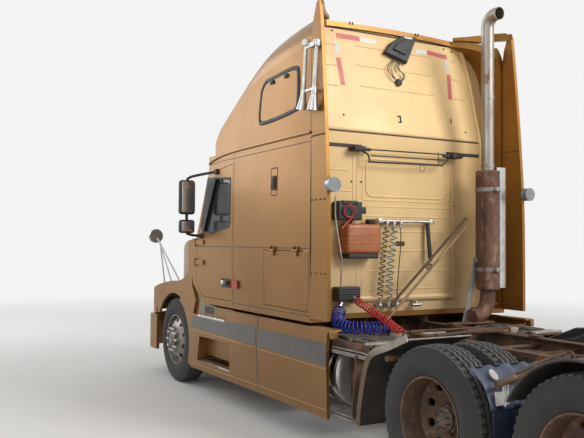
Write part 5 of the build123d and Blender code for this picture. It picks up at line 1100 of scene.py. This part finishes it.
# Side skirts
SKIRT_Y, RECESS_Y = 1.2, 1.17
STRIPES = (((0.655, 0.768), (0.655, 0.893), (2.392, 0.945), (2.395, 0.75)),
           ((2.432, 0.932), (3.762, 0.93), (3.757, 0.732), (2.428, 0.745)))
SKIRT_SPLIT = ((2.446, 1.052), (2.425, 0.86), (2.412, 0.7), (2.43, 0.48), (2.458, 0.282))
VENT = ((0.985, 0.962), (0.99, 1.045), (1.265, 1.045), (1.275, 0.965))
RECESS = ((0.79, 1.165), (0.985, 1.085), (1.335, 1.055), (1.335, 0.962), (0.8, 0.955), (0.825, 1.06))
SKIRT_RUNS = (((0.66, 0.735), (2.38, 0.718)), ((2.44, 0.716), (3.752, 0.7)), ((0.66, 0.33), (2.43, 0.345)),
              ((2.47, 0.345), (3.77, 0.35)))
SKIRT_BOXES = ((3.875, 3.8, 1.15, 1.199, 0.975, 1.05, 0.006), (3.86, 3.47, 1.1, 1.196, 1.03, 1.055, 0.01),
               (0.872, 0.864, 0.952, 1.19, 0.4, 0.668, 0.003), (1.765, 0.872, 1.085, 1.093, 0.455, 0.68, 0.003))
# Treads: front, rear, top, inner and outer edge; the toothed ones behind the tank: front, rear, both edges and heights
TREADS = ((0.85, 1.625, 0.93, 1.095, 1.208), (0.825, 1.75, 0.386, 1.08, 1.196))
REAR_TREADS = ((3.79, 4.3, 0.975, 1.165, 0.885, 0.905), (3.775, 4.12, 0.955, 1.165, 0.335, 0.352))
RIDGE_PITCH, TOOTH_PITCH = 0.016, 0.03
TREAD_TUBE = ((4.22, 1.05, 0.89), (4.16, 1.05, 0.72), (4.13, 1.04, 0.52), (4.11, 1.03, 0.345))


class TRUCK_OT_skirts(bpy.types.Operator):
    """Stripes, treads, vents and seams of the side skirts"""
    bl_idname = "truck.skirts"
    bl_label = "Side skirts"

    def execute(self, context):
        treads, rear = [], []
        for front, back, top, inner, outer in TREADS:
            treads += both(*boxes(FRONT_X, (back, front, inner, outer, top - 0.022, top + 0.004, 0.004)))
            count = int((back - front) / RIDGE_PITCH)
            x = FRONT_X - front - 0.01 - RIDGE_PITCH * np.arange(count - 1)
            ridge = rounded_block((-0.0035, inner + 0.008, -0.002), (0.0035, outer - 0.003, 0.004), 0.002, 1)
            treads += both(copies(ridge, np.stack([x, 0 * x, 0 * x + top + 0.005], axis=-1)))
        slats = [(1.262, 0.998, 1.17, 1.177, z, z + 0.005, 0.002, 1) for z in 0.972 + 0.013 * np.arange(6)]
        dark = both(side_bead(smooth_path(SKIRT_SPLIT, 30), 0.013, 0.2, flush=SKIRT_Y),
                    side_plate(VENT, 0.0025, 0.003, flush=RECESS_Y), *boxes(FRONT_X, *slats))
        strips = both(*[side_bead(line_between(run, 0.2), 0.006, 0.4, flush=SKIRT_Y) for run in SKIRT_RUNS],
                      *boxes(FRONT_X, *SKIRT_BOXES))
        piece("skirt_recess_panels", both(side_plate(RECESS, 0.0012, 0.0015, flush=RECESS_Y)),
              "olive_set_back_panel", smooth=False)
        piece("skirt_stripes", both(*[side_plate(outline, 0.0015, 0.002, flush=SKIRT_Y) for outline in STRIPES]),
              "dark_stripe_paint", smooth=False)
        piece("skirt_treads", treads, "bright_bar_metal", crease=30)
        piece("skirt_split_and_vent", dark, "worn_black_steel")
        piece("skirt_strips", strips, "gold_metallic_paint")
        for front, back, inner, outer, low, high in REAR_TREADS:
            rear += both(*boxes(FRONT_X, (back, front, inner, outer, low, high, 0.004),
                                *[(back, front, edge - 0.004, edge + 0.004, low - 0.03, high + 0.006, 0.003)
                                  for edge in (inner + 0.004, outer - 0.004)]))
            x = FRONT_X - front - 0.025 - TOOTH_PITCH * np.arange(int((back - front) / TOOTH_PITCH) - 1)
            for y in np.linspace(inner + 0.04, outer - 0.04, 4):
                tooth = lathe(((0.0, 0.01), (0.006, 0.008), (0.007, 0.004)), (0, y, high), (0, 0, 1), 8)
                rear += both(copies(tooth, np.stack([x, 0 * x, 0 * x], axis=-1)))
        rear += both(*boxes(FRONT_X, *[(x + 0.02, x - 0.02, 0.985, 1.005, 0.34, 0.895, 0.004) for x in (4.02, 4.1)]),
                     tube(smooth_path(back_from(FRONT_X, *TREAD_TUBE), 20), 0.018, 10))
        piece("rear_treads", rear, "worn_galvanised_steel")
        return {"FINISHED"}


# Wheels: profiles of distance outwards and radius
HAND_HOLES = 10
HOLE_R = 0.243
HOLE_HALF = (0.026, 0.034)
STUD_CIRCLE_R = 0.143
DISH_R = (0.178, 0.305)
BARREL = ((-0.123, 0.318), (-0.118, 0.312), (-0.109, 0.311), (0.109, 0.311), (0.118, 0.312), (0.123, 0.318),
          (0.123, 0.305), (0.1, 0.299), (-0.1, 0.299), (-0.123, 0.305))
FRONT_PLATE = ((0.115, 0.0422), (0.115, 0.18), (0.137, 0.18), (0.14, 0.172), (0.1385, 0.16), (0.137, 0.15),
               (0.137, 0.0422))
FRONT_HUB = ((0.137, 0.096), (0.176, 0.094), (0.182, 0.086), (0.184, 0.05), (0.192, 0.048), (0.193, 0.03),
             (0.189, 0.012))
NUT_COVER = ((0.0, 0.019), (0.012, 0.02), (0.05, 0.018), (0.058, 0.013), (0.061, 0.006))
DRUM = ((-0.075, 0.09), (-0.075, 0.205), (0.07, 0.205), (0.07, 0.19), (-0.06, 0.19), (-0.06, 0.09))
DRUM_HUB = ((-0.06, 0.0422), (-0.06, 0.11), (0.12, 0.11), (0.12, 0.0422))
DRIVE_PLATE = ((-0.022, 0.0422), (-0.022, 0.18), (0.022, 0.18), (0.022, 0.0422))
DRIVE_HUB = ((0.022, 0.112), (0.06, 0.11), (0.085, 0.104), (0.112, 0.1), (0.118, 0.098), (0.12, 0.09),
             (0.144, 0.088), (0.15, 0.08), (0.151, 0.03), (0.147, 0.012))
DRIVE_CORE = ((-0.23, 0.0422), (-0.23, 0.11), (0.02, 0.11), (0.02, 0.0422))
# A nut and its stud: distance, and radius in shares of the nut's
NUT = ((0.0, 1.2), (0.003, 1.2), (0.004, 1.0), (0.02, 1.0), (0.024, 0.7), (0.034, 0.55), (0.036, 0.4))


def wheel_lathe(profile, x, y, sign, steps=72, ring=False):
    """A profile of distance outwards and radius, turned about a wheel's axle."""
    return lathe(profile, (x, y, AXLE_Z), (0, sign, 0), steps, ring)


def pierced_dish(x, y, sign, front, back):
    """A wheel's dish with oval holes. In each sector a row runs from the hole's oval out to the sector's edges:
    point = oval * (1 - share) + edge * share, in turn and radius. Front and back rows join through the hole and
    along the inner and outer rims. The dish's depth runs evenly from its inner to its outer radius."""
    per_side = 6
    run = np.linspace(-1.0, 1.0, per_side, endpoint=False)
    low, high = np.full(per_side, -1.0), np.full(per_side, 1.0)
    edge = np.concatenate([np.stack(pair, -1) for pair in ((run, low), (high, run), (-run, high), (low, -run))])
    half_turn, middle, half_r = np.pi / HAND_HOLES, sum(DISH_R) / 2, (DISH_R[1] - DISH_R[0]) / 2
    bearing = np.arctan2(edge[:, 1], edge[:, 0])
    oval = np.stack([HOLE_HALF[1] / HOLE_R * np.cos(bearing), HOLE_R + HOLE_HALF[0] * np.sin(bearing)], -1)
    bound = np.stack([edge[:, 0] * half_turn, middle + edge[:, 1] * half_r], -1)
    rows = []
    for depths, shares in ((front, (1.0, 0.5, 0.15, 0.0)), (back, (0.0, 0.5, 1.0))):
        for share in shares:
            flat = oval * (1 - share) + bound * share
            rise = np.interp(flat[:, 1], DISH_R, depths) + (0.004 if share == 0.15 else 0.0)
            rows.append(np.concatenate([flat, rise[:, None]], axis=1))
    rows = np.stack(rows)
    sector = np.arange(HAND_HOLES)[:, None, None]
    turn = rows[None, :, :, 0] + 2 * sector * half_turn
    radius, depth = rows[None, :, :, 1], np.broadcast_to(rows[None, :, :, 2], turn.shape)
    points = np.stack([x + radius * np.sin(turn), y + sign * depth, AXLE_Z + radius * np.cos(turn)], axis=-1)
    count, length = rows.shape[:2]
    rim = np.arange(length)
    inner = (rim < per_side) | ((rim >= 2 * per_side) & (rim < 3 * per_side))
    last = (count - 1) * length + rim
    wall = np.stack([last, np.roll(last, -1), np.roll(rim, -1), rim], axis=-1)[inner]
    faces = np.concatenate([grid_faces(count, length, close_columns=True), wall])
    return points.reshape(-1, 3), (faces[None] + sector * count * length).reshape(-1, 4)


def around(shape, radius, count):
    """Copies of a shape spaced evenly round an axle."""
    turn = 2 * np.pi * (np.arange(count) + 0.5) / count
    return copies(shape, radius * np.stack([np.sin(turn), 0 * turn, np.cos(turn)], axis=-1))


def nuts(x, y, sign, depth, circle_r=STUD_CIRCLE_R, count=10, size=0.016):
    """Wheel nuts on studs round an axle."""
    return around(wheel_lathe(np.array(NUT) * (1.0, size), x, y + sign * depth, sign, 6), circle_r, count)


class TRUCK_OT_wheels(bpy.types.Operator):
    """Pierced discs, hubs and nuts of every wheel"""
    bl_idname = "truck.wheels"
    bl_label = "Wheels"

    def execute(self, context):
        for side, sign in SIDES:
            x, y = FRONT_X, sign * FRONT_WHEEL_Y
            place = x, y, sign
            body = f"front_wheel_{side}_body"
            covers = around(wheel_lathe(NUT_COVER, x, y + sign * 0.137, sign, 12), STUD_CIRCLE_R, 10)
            piece(f"front_nut_covers_{side}", [covers], "bright_bar_metal", body)
            shapes = [wheel_lathe(BARREL, *place, 96, True), pierced_dish(*place, (0.137, 0.062), (0.117, 0.042)),
                      wheel_lathe(FRONT_PLATE, *place, 72, True), wheel_lathe(FRONT_HUB, *place),
                      nuts(*place, 0.182, 0.07, 8, 0.007)]
            # The front disc's metal is darkened as painted dark reflection
            disc = piece(f"front_wheel_disc_{side}", shapes, "dulled_wheel_metal", body)
            drum = [wheel_lathe(DRUM, *place, 72, True), wheel_lathe(DRUM_HUB, *place, 48, True)]
            piece(f"front_drum_{side}", drum, "rusty_chassis_steel", body)
            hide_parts(f"front_rim_{side}")
            for number, x in enumerate(DRIVE_X, start=1):
                body, y = f"drive_wheel_{number}_{side}_body", sign * DUAL_Y
                place = x, y, sign
                shapes = [wheel_lathe(BARREL, x, y + sign * offset, sign, 96, True)
                          for offset in (-DUAL_SPACING / 2, DUAL_SPACING / 2)]
                shapes += [pierced_dish(x, y, facing, (0.022, 0.122), (0.002, 0.092)) for facing in (sign, -sign)]
                shapes.append(wheel_lathe(DRIVE_PLATE, *place, 72, True))
                made = piece(f"drive_wheel_discs_{number}_{side}", shapes, "rusty_wheel_steel", body)
                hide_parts(f"drive_rims_{number}_{side}")
                hub = [wheel_lathe(DRIVE_HUB, *place), wheel_lathe(DRIVE_CORE, *place, 48, True),
                       nuts(*place, 0.022), nuts(*place, 0.119, 0.094, 8, 0.006), nuts(*place, 0.15, 0.062, 8, 0.008)]
                piece(f"drive_hubs_{number}_{side}", hub, "greasy_hub_steel", body)
        return {"FINISHED"}


# Exhaust on the right: X and Y of the stack's middle
STACK = (-0.54, -0.833)
STACK_TOP_Z, STACK_BEND_R = 4.14, 0.115
MUFFLER_Z = (1.335, 2.555)
# Distance up from the muffler's low end, or down from its high end, and radius
MUFFLER_LOW = ((0.0, 0.06), (0.004, 0.105), (0.012, 0.122), (0.03, 0.1225), (0.034, 0.1205), (0.6, 0.1205),
               (0.602, 0.122), (0.612, 0.122), (0.614, 0.1205))
MUFFLER_HIGH = ((-0.034, 0.1205), (-0.03, 0.1225), (-0.012, 0.122), (-0.004, 0.105), (0.0, 0.06))
# Elbow: distance inwards from the stack and height
ELBOW = ((0.0, 1.26), (0.012, 1.19), (0.055, 1.125), (0.125, 1.085), (0.215, 1.075))
HEAT_STRIP = ((-0.058, 0.012), (-0.06, -0.002), (0.0, -0.008), (0.06, -0.002), (0.058, 0.012), (0.054, 0.0),
              (0.0, -0.004), (-0.054, 0.0))


def pipe(path, radius, wall, sides=24):
    """An open pipe along a path: the outer skin along the path and the inner skin back again."""
    outer, inner = (swept(path, circle(size, sides))[0].reshape(-1, sides, 3)[1:-1] for size in (radius, radius - wall))
    return grid(np.concatenate([outer, inner[::-1]]), close_rows=True, close_columns=True)


def strip_section(wide, thick):
    """The section of a flat strip from half its width and thickness."""
    return np.array([(-wide, -thick), (wide, -thick), (wide, thick), (-wide, thick)])


def band(x, y, z, half, inner, outer, steps=56):
    """A ring round an upright axis, half its height up and down from z."""
    return lathe(((z - half, inner), (z - half, outer), (z + half, outer), (z + half, inner)), (x, y, 0), (0, 0, 1),
                 steps, True)


def chain(start, end, size=0.016, wire=0.0035):
    """Oval links from start to end, every other one turned a quarter."""
    start, end = np.asarray(start, float), np.asarray(end, float)
    along = (end - start) / np.linalg.norm(end - start)
    first, second = across(along)
    places = straight(start, end, int(np.linalg.norm(end - start) / (size * 1.7)))
    turn = np.linspace(0, 2 * np.pi, 12, endpoint=False)[:, None]
    section = circle(wire, 6)
    links = []
    for aside, chosen in ((first, places[::2]), (second, places[1::2])):
        line = size * 1.25 * np.cos(turn) * along + size * 0.75 * np.sin(turn) * aside
        out = np.cos(turn) * along + np.sin(turn) * aside
        points = line[:, None] + section[None, :, :1] * out[:, None] + section[None, :, 1:] * np.cross(along, aside)
        links.append(copies(grid(points, close_rows=True, close_columns=True), chosen))
    return links


class TRUCK_OT_exhaust(bpy.types.Operator):
    """Muffler, stack, elbow and their clamps and braces"""
    bl_idname = "truck.exhaust"
    bl_label = "Exhaust"

    def execute(self, context):
        x, y = STACK
        centre = (x - STACK_BEND_R, y, STACK_TOP_Z - STACK_BEND_R)
        bend = arc_points(centre, STACK_BEND_R, (1, 0, 0), (0, 0, 1), 0, 90, 14)
        rise = np.concatenate([straight((x, y, 2.5), (x, y, STACK_TOP_Z - 0.13), 14), bend,
                               [(x - 0.14, y, STACK_TOP_Z), (x - 0.17, y, STACK_TOP_Z - 0.004)]])
        piece("stack_pipe", [pipe(rise, 0.065, 0.004), *[band(x, y, z, 0.016, 0.064, 0.07, 40) for z in (2.6, 3.3)]],
              "weathered_stack_steel")
        low, high = MUFFLER_Z
        profile = [(low + rise, radius) for rise, radius in MUFFLER_LOW]
        profile += [(high + rise, radius) for rise, radius in MUFFLER_HIGH]
        elbow = smooth_path([(x, y, low + 0.03), *[(x, y + inwards, z) for inwards, z in ELBOW]], 34)
        foot = rounded_block((x - 0.05, y - 0.05, 1.0005), (x + 0.05, -0.336, 1.022), 0.006)
        body = piece("muffler_and_elbow", [lathe(profile, (x, y, 0), (0, 0, 1), 56), tube(elbow, 0.076, 28), foot],
                     "rusty_muffler_steel")
        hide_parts("exhaust_stack")
        bands = []
        for z in (2.355, 1.545):
            bands += [band(x, y, z, 0.02, 0.119, 0.126),
                      *boxes(x, (0.155, 0.12, y - 0.03, y + 0.03, z - 0.022, z + 0.022, 0.005)),
                      lathe(((0, 0.008), (0.09, 0.008)), (x - 0.138, y - 0.045, z), (0, 1, 0), 8)]
        bands += [swept(straight((x + 0.05, -0.727, 1.64), (x + 0.05, -0.572, 1.01), 6), strip_section(0.035, 0.004),
                        (1, 0, 0)), *boxes(x, (-0.02, -0.08, -0.745, -0.705, 1.61, 1.665, 0.006))]
        piece("muffler_clamps_and_brace", bands, "worn_galvanised_steel")
        strip = [swept(straight((x - 0.052, -0.968, 1.358), (x - 0.052, -0.968, 2.588), 12), HEAT_STRIP, (1, 0, 0)),
                 *boxes(x, *[(0.056, 0.04, -0.96, -0.925, z - 0.02, z + 0.02, 0.004) for z in (1.5, 1.95, 2.42)])]
        piece("heat_strip", strip, "bright_bar_metal")
        links = chain((x - 0.078, -0.716, 2.1), (x - 0.085, -0.7, 1.39))
        piece("stack_chain", links, "rusty_chassis_steel")
        pale = tube(straight((-0.44, 0.362, 1.07), (-0.455, -0.64, 1.996), 16), 0.013, 12)
        piece("long_pole_pale", [pale], "dusty_brown_pole")
        along, over = np.array((0.0, 0.69, 0.72)), (0, -0.72, 0.69)
        tie = arc_points((-0.436, -0.15, 1.58), 0.032, over, (1, 0, 0), 0, 792, 30)
        dark = [tube(straight((-0.425, 0.3, 1.212), (-0.43, -0.64, 2.066), 16), 0.013, 12),
                tube(tie + np.linspace(-0.02, 0.02, 30)[:, None] * along, 0.005, 6, along)]
        piece("long_pole_dark", dark, "dark_brown_pole")
        return {"FINISHED"}


# Guards round the drive wheels: radius, inner and outer edge, and the bent parts as points
GUARD_R = 0.612
GUARD_Y = (0.592, 1.222)
FRONT_GUARD = ((-1.236, 0, 0.335), (-1.258, 0, 0.5), (-1.3, 0, 0.68), (-1.352, 0, 0.84), (-1.43, 0, 0.925),
               (-1.62, 0, 0.995), (-1.855, 0, 1.09))
MIDDLE_GUARD = ((-2.52, 0, 0.985), (-2.58, 0, 0.945), (-2.655, 0, 0.88), (-2.705, 0, 0.78), (-2.712, 0, 0.745))
FLAP = ((-2.708, 0.76), (-2.735, 0.34))
LIP = ((-0.046, -0.004), (-0.046, 0.004), (0.01, 0.004), (0.01, -0.004))
# Ends of the guards' tubes: at the outside and at the rail
GUARD_TUBES = (((-1.56, 1.19, 0.915), (-1.56, 0.44, 0.93)), ((-2.735, 1.195, 0.908), (-2.66, 0.44, 1.022)))
REAR_GUARD_TUBE = ((-3.709, 1.19, 1.0925), (-3.709, 0.9, 1.0965), (-3.709, 0.56, 1.0925), (-3.709, 0.553, 1.06),
                   (-3.709, 0.546, 0.945))
GUARD_ROD = ((-2.72, 1.0, 0.965), (-2.69, 0.72, 1.025), (-2.665, 0.48, 1.055))


def guard_band(path, y_low, y_high, thick=0.006, waves=0, wave=0.0):
    """A bent sheet: a path of X and Z carried from one Y to the other, its skins set out from the path along its
    normal by the thickness and by a wave across the sheet."""
    path = np.asarray(path, float)
    slope = np.gradient(path, axis=0)
    slope /= np.linalg.norm(slope, axis=1)[:, None]
    normal = np.stack([slope[:, 1], -slope[:, 0]], axis=-1)
    share = np.linspace(0, 1, max(2, waves * 8 + 1))
    lift = wave * np.cos(2 * np.pi * waves * share) * np.clip(share * 12, 0, 1) * np.clip((1 - share) * 12, 0, 1)
    skins = []
    for out, order in ((thick / 2, 1), (-thick / 2, -1)):
        flat = path[:, None] + normal[:, None] * (lift + out)[None, :, None]
        y = np.broadcast_to(y_low + share * (y_high - y_low), flat.shape[:2])
        skins.append(np.stack([flat[..., 0], y, flat[..., 1]], axis=-1)[:, ::order])
    return grid(closed_ends(np.concatenate(skins, axis=1)), close_columns=True)


class TRUCK_OT_guards(bpy.types.Operator):
    """Mudguards round the drive wheels with their tubes and flaps"""
    bl_idname = "truck.guards"
    bl_label = "Mudguards"

    def execute(self, context):
        front = smooth_path(FRONT_GUARD, 30)
        piece("mudguard_fronts", both(guard_band(front[:, ::2] + (0.004, 0.006), *GUARD_Y),
                                      swept(front + (0, GUARD_Y[1] - 0.002, 0), LIP, (0, 1, 0))),
              "bronze_guard_sheet")
        last = arc_points((DRIVE_X[1], 0, AXLE_Z), GUARD_R, (1, 0, 0), (0, 0, 1), 28, 178, 40)
        dark = both(guard_band(front[:, ::2], GUARD_Y[0] + 0.01, GUARD_Y[1] - 0.01),
                    guard_band(last[:, ::2], *GUARD_Y),
                    *[tube(last + (0, edge, 0), 0.01, 8) for edge in (GUARD_Y[0] + 0.004, GUARD_Y[1] - 0.006)])
        made = piece("mudguard_bands", dark, "dusty_guard_plastic")
        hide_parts("mudguards")
        piece("mudguard_flaps", both(guard_band(straight(*FLAP, 8), 0.61, 1.205, 0.006, 4, 0.004)),
              "navy_guard_flap")
        middle = smooth_path(MIDDLE_GUARD, 24)
        piece("mudguard_middles", both(guard_band(middle[:, ::2], *GUARD_Y, 0.005, 4, 0.013)),
              "dark_blue_guard")
        oval = circle(0.028, 24, 0.044 / 0.028)
        along = np.cross((-0.71, 0.0, 0.7), (0, 1, 0))
        pads = both(*[plate(oval, (-2.612, y, 0.946), (0, 1, 0), along, 0.01, 0.002) for y in (0.7, 1.1)],
                    plate(box_outline(0.11, 0.085), (-2.722, 1.135, 0.815), (0, 1, 0), (0.12, 0, 0.99), 0.006))
        piece("guard_white_pads", pads, "grubby_white_pad")
        rods = []
        for outer, inner in GUARD_TUBES:
            rods += both(lathe(((0.0, 0.045), (0.012, 0.045)), (inner[0], 0.428, inner[2]), (0, 1, 0), 20),
                         tube(straight(outer, inner, 10), 0.024, 14))
        x = REAR_GUARD_TUBE[0][0]
        rods += both(*boxes(x, (0.04, -0.04, 0.427, 0.575, 0.8, 0.94, 0.006)),
                     tube(smooth_path(REAR_GUARD_TUBE, 20), 0.024, 14), tube(smooth_path(GUARD_ROD, 12), 0.01, 8))
        piece("guard_tubes", rods, "rusty_chassis_steel")
        straps = []
        x, _, z = GUARD_TUBES[1][0]
        for n, (out, drop) in enumerate(((1.165, 0.1), (1.145, 0.13), (1.12, 0.11))):
            top = np.array([x - 0.024, out, z + (1.195 - out) * 0.15 - 0.012])
            line = smooth_path((top, top + (-0.012, 0.004 * n, -drop * 0.5), top + (-0.006, 0.006, -drop)), 8)
            straps += both(swept(line, circle(0.007, 6, 0.35)))
        piece("guard_tie_ends", straps, "grubby_white_pad")
        return {"FINISHED"}


# Tanks and deck
TANK_YZ = (0.795, 0.64)
TANK_END_X = FRONT_X - 3.73
TANK_END = ((-0.004, 0.2905), (0.006, 0.29), (0.016, 0.28), (0.03, 0.235), (0.04, 0.15), (0.043, 0.06))
TANK_BEAD = ((0.0, 0.2895), (0.01, 0.296), (0.02, 0.2895))
TANK_CAP = ((0.0, 0.055), (0.03, 0.055), (0.036, 0.048), (0.05, 0.046))
TANK_BAND = ((-0.034, 0.298), (-0.034, 0.303), (0.034, 0.303), (0.034, 0.298))
END_STRAP = ((0.052, 0.88, 0.945), (0.056, 0.9, 0.8), (0.05, 0.905, 0.62), (0.046, 0.895, 0.45), (0.03, 0.88, 0.352))
FIN = ((4.18, 1.11, 0.88), (4.185, 1.112, 0.74), (4.15, 1.105, 0.56), (4.11, 1.09, 0.42), (4.095, 1.07, 0.345))
# Cross tubes: both ends behind the front axle, count of points, radius and sides; the first is on both sides
CROSS_TUBES = (((4.285, 0.424, 1.012), (4.2, 0.0, 1.012), 6, 0.016, 10),
               ((4.2, 0.0, 1.012), (4.087, -0.81, 1.016), 8, 0.024, 12),
               ((3.93, 0.42, 1.01), (3.98, -0.42, 1.01), 8, 0.014, 10))
# Rods that fan out between two cross members, as the cross tubes
BEAM_RODS = (((4.814, -0.06, 0.915), (5.352, 0.11, 0.915), 6, 0.02, 10),
             ((4.814, -0.06, 0.915), (5.352, -0.3, 0.915), 6, 0.02, 10))
# Plates on top of the rails: front and rear end behind the front axle, and inner edge
RAIL_PLATES = ((4.6, 4.72, 0.345), (5.85, 6.05, 0.345), (6.6, 6.75, 0.345))
# Pipes on the deck: place across, rise over it and sway
DECK_PIPES = ((0.78, 0.016, 0.03), (0.84, 0.02, -0.04), (0.9, 0.014, 0.05), (0.96, 0.018, -0.03), (1.03, 0.015, 0.02),
              (0.7, 0.013, -0.02))
PALE_BOXES = ((4.296, 4.225, 0.76, 1.125, 0.9625, 0.985, 0.006), (4.15, 3.99, 0.6, 0.7, 0.9625, 1.02, 0.008))
VESSEL_CAP = ((0.0, 0.11), (0.012, 0.112), (0.06, 0.112), (0.085, 0.105), (0.1, 0.08))


class TRUCK_OT_deck(bpy.types.Operator):
    """Tank ends, straps, pipes, brackets and cross tubes behind the cab"""
    bl_idname = "truck.deck"
    bl_label = "Deck and tank ends"

    def execute(self, context):
        x, (y, z) = TANK_END_X, TANK_YZ
        bright = both(lathe(TANK_END, (x, y, z), (-1, 0, 0), 72),
                      lathe(TANK_BEAD, (x + 0.03, y, z), (-1, 0, 0), 72, True),
                      lathe(TANK_CAP, (FRONT_X - 2.5, y + 0.1, z + 0.27), (0, 0.34, 1), 28))
        piece("tank_ends_and_caps", bright, "dulled_tank_metal")
        rust = []
        for back in (2.6, 3.58):
            rust += both(lathe(TANK_BAND, (FRONT_X - back, y, z), (1, 0, 0), 72, True),
                         *boxes(FRONT_X, (back + 0.03, back - 0.03, 1.075, 1.108, 0.7, 0.76, 0.006)))
        rods = [tube(straight(*back_from(FRONT_X, start, end), count), radius, sides)
                for start, end, count, radius, sides in CROSS_TUBES + BEAM_RODS]
        rust += both(swept(smooth_path(back_from(x, *END_STRAP), 20), strip_section(0.035, 0.003), (1, 0, 0)),
                     swept(smooth_path(back_from(FRONT_X, *FIN), 22), strip_section(0.075, 0.004), (1, 0, 0)), rods[0])
        rust += rods[1:3]
        rust += boxes(FRONT_X, *[(back + 0.045, back - 0.045, -0.415, 0.415, 0.925, 0.937, 0.004)
                                 for back in (3.75, 4.65, 5.55)])
        bolts = FRONT_X - np.arange(3.6, 7.3, 0.19)
        head = lathe(((0.0, 0.011), (0.003, 0.011), (0.009, 0.007)), (0, 0.4255, 0), (0, 1, 0), 8)
        rust += both(*[copies(head, np.stack([bolts, 0 * bolts, 0 * bolts + z], axis=-1)) for z in (0.965, 0.765)],
                     *boxes(FRONT_X, *[(rear, front, inner, inner + 0.07, 0.9995, 1.016, 0.004)
                                       for front, rear, inner in RAIL_PLATES]))
        rust += rods[3:]
        piece("deck_rusty_parts", rust, "rusty_chassis_steel")
        pipes, share = [], np.linspace(0, 1, 6)
        for n, (y, rise, sway) in enumerate(DECK_PIPES):
            start, finish_at = 3.5 + 0.02 * n, 4.27 - 0.03 * n
            line = np.stack([FRONT_X - start - (finish_at - start) * share, y + sway * np.sin(share * 5.0 + n),
                             0.964 + rise + 0 * share], axis=-1)
            pipes += both(tube(smooth_path(line, 30), 0.012 - 0.001 * (n % 3), 10))
        pipes += both(*boxes(FRONT_X, *[(back + 0.012, back - 0.012, 0.64, 1.09, 0.962, 0.985, 0.003)
                                        for back in (3.62, 3.95, 4.2)]))
        piece("deck_pipes", pipes, "dusty_grey_pipe")
        pale = both(*boxes(FRONT_X, *PALE_BOXES)) + boxes(FRONT_X, (3.72, 3.66, -0.18, 0.26, 0.938, 0.962, 0.008))
        piece("deck_pale_parts", pale, "worn_pale_plate")
        cap = lathe(VESSEL_CAP, (FRONT_X - 5.35, 0.0, 0.8), (0, 0, 1), 40)
        piece("deck_air_vessel", [cap], "worn_pale_plate")
        return {"FINISHED"}


OPERATORS = (TRUCK_OT_stage, TRUCK_OT_materials, TRUCK_OT_lines, TRUCK_OT_tyres, TRUCK_OT_wall, TRUCK_OT_fittings,
             TRUCK_OT_sides, TRUCK_OT_skirts, TRUCK_OT_wheels, TRUCK_OT_exhaust, TRUCK_OT_guards, TRUCK_OT_deck)
CLASSES = (*PROPERTY_GROUPS.values(), *OPERATORS)
STEPS = [made.bl_idname.split(".")[1] for made in OPERATORS]


class TRUCK_PT_panel(bpy.types.Panel):
    """Buttons for the stage and each group of pieces"""
    bl_idname = "TRUCK_PT_panel"
    bl_label = "Truck"
    bl_space_type = "VIEW_3D"
    bl_region_type = "UI"
    bl_category = "Truck"

    def draw(self, context):
        for step in STEPS:
            self.layout.operator(f"truck.{step}")
        for name in PROPERTY_GROUPS:
            group = getattr(context.scene, name)
            box = self.layout.box()
            for prop in group.bl_rna.properties:
                if prop.identifier not in ("name", "rna_type"):
                    box.prop(group, prop.identifier)


def register():
    for made in CLASSES:
        bpy.utils.register_class(made)
    bpy.utils.register_class(TRUCK_PT_panel)
    for name, group in PROPERTY_GROUPS.items():
        setattr(bpy.types.Scene, name, PointerProperty(type=group))


def unregister():
    for name in PROPERTY_GROUPS:
        delattr(bpy.types.Scene, name)
    bpy.utils.unregister_class(TRUCK_PT_panel)
    for made in reversed(CLASSES):
        bpy.utils.unregister_class(made)


def main():
    register()
    for step in STEPS:
        getattr(bpy.ops.truck, step)()
    bpy.context.view_layer.update()


if __name__ == "__main__":
    main()
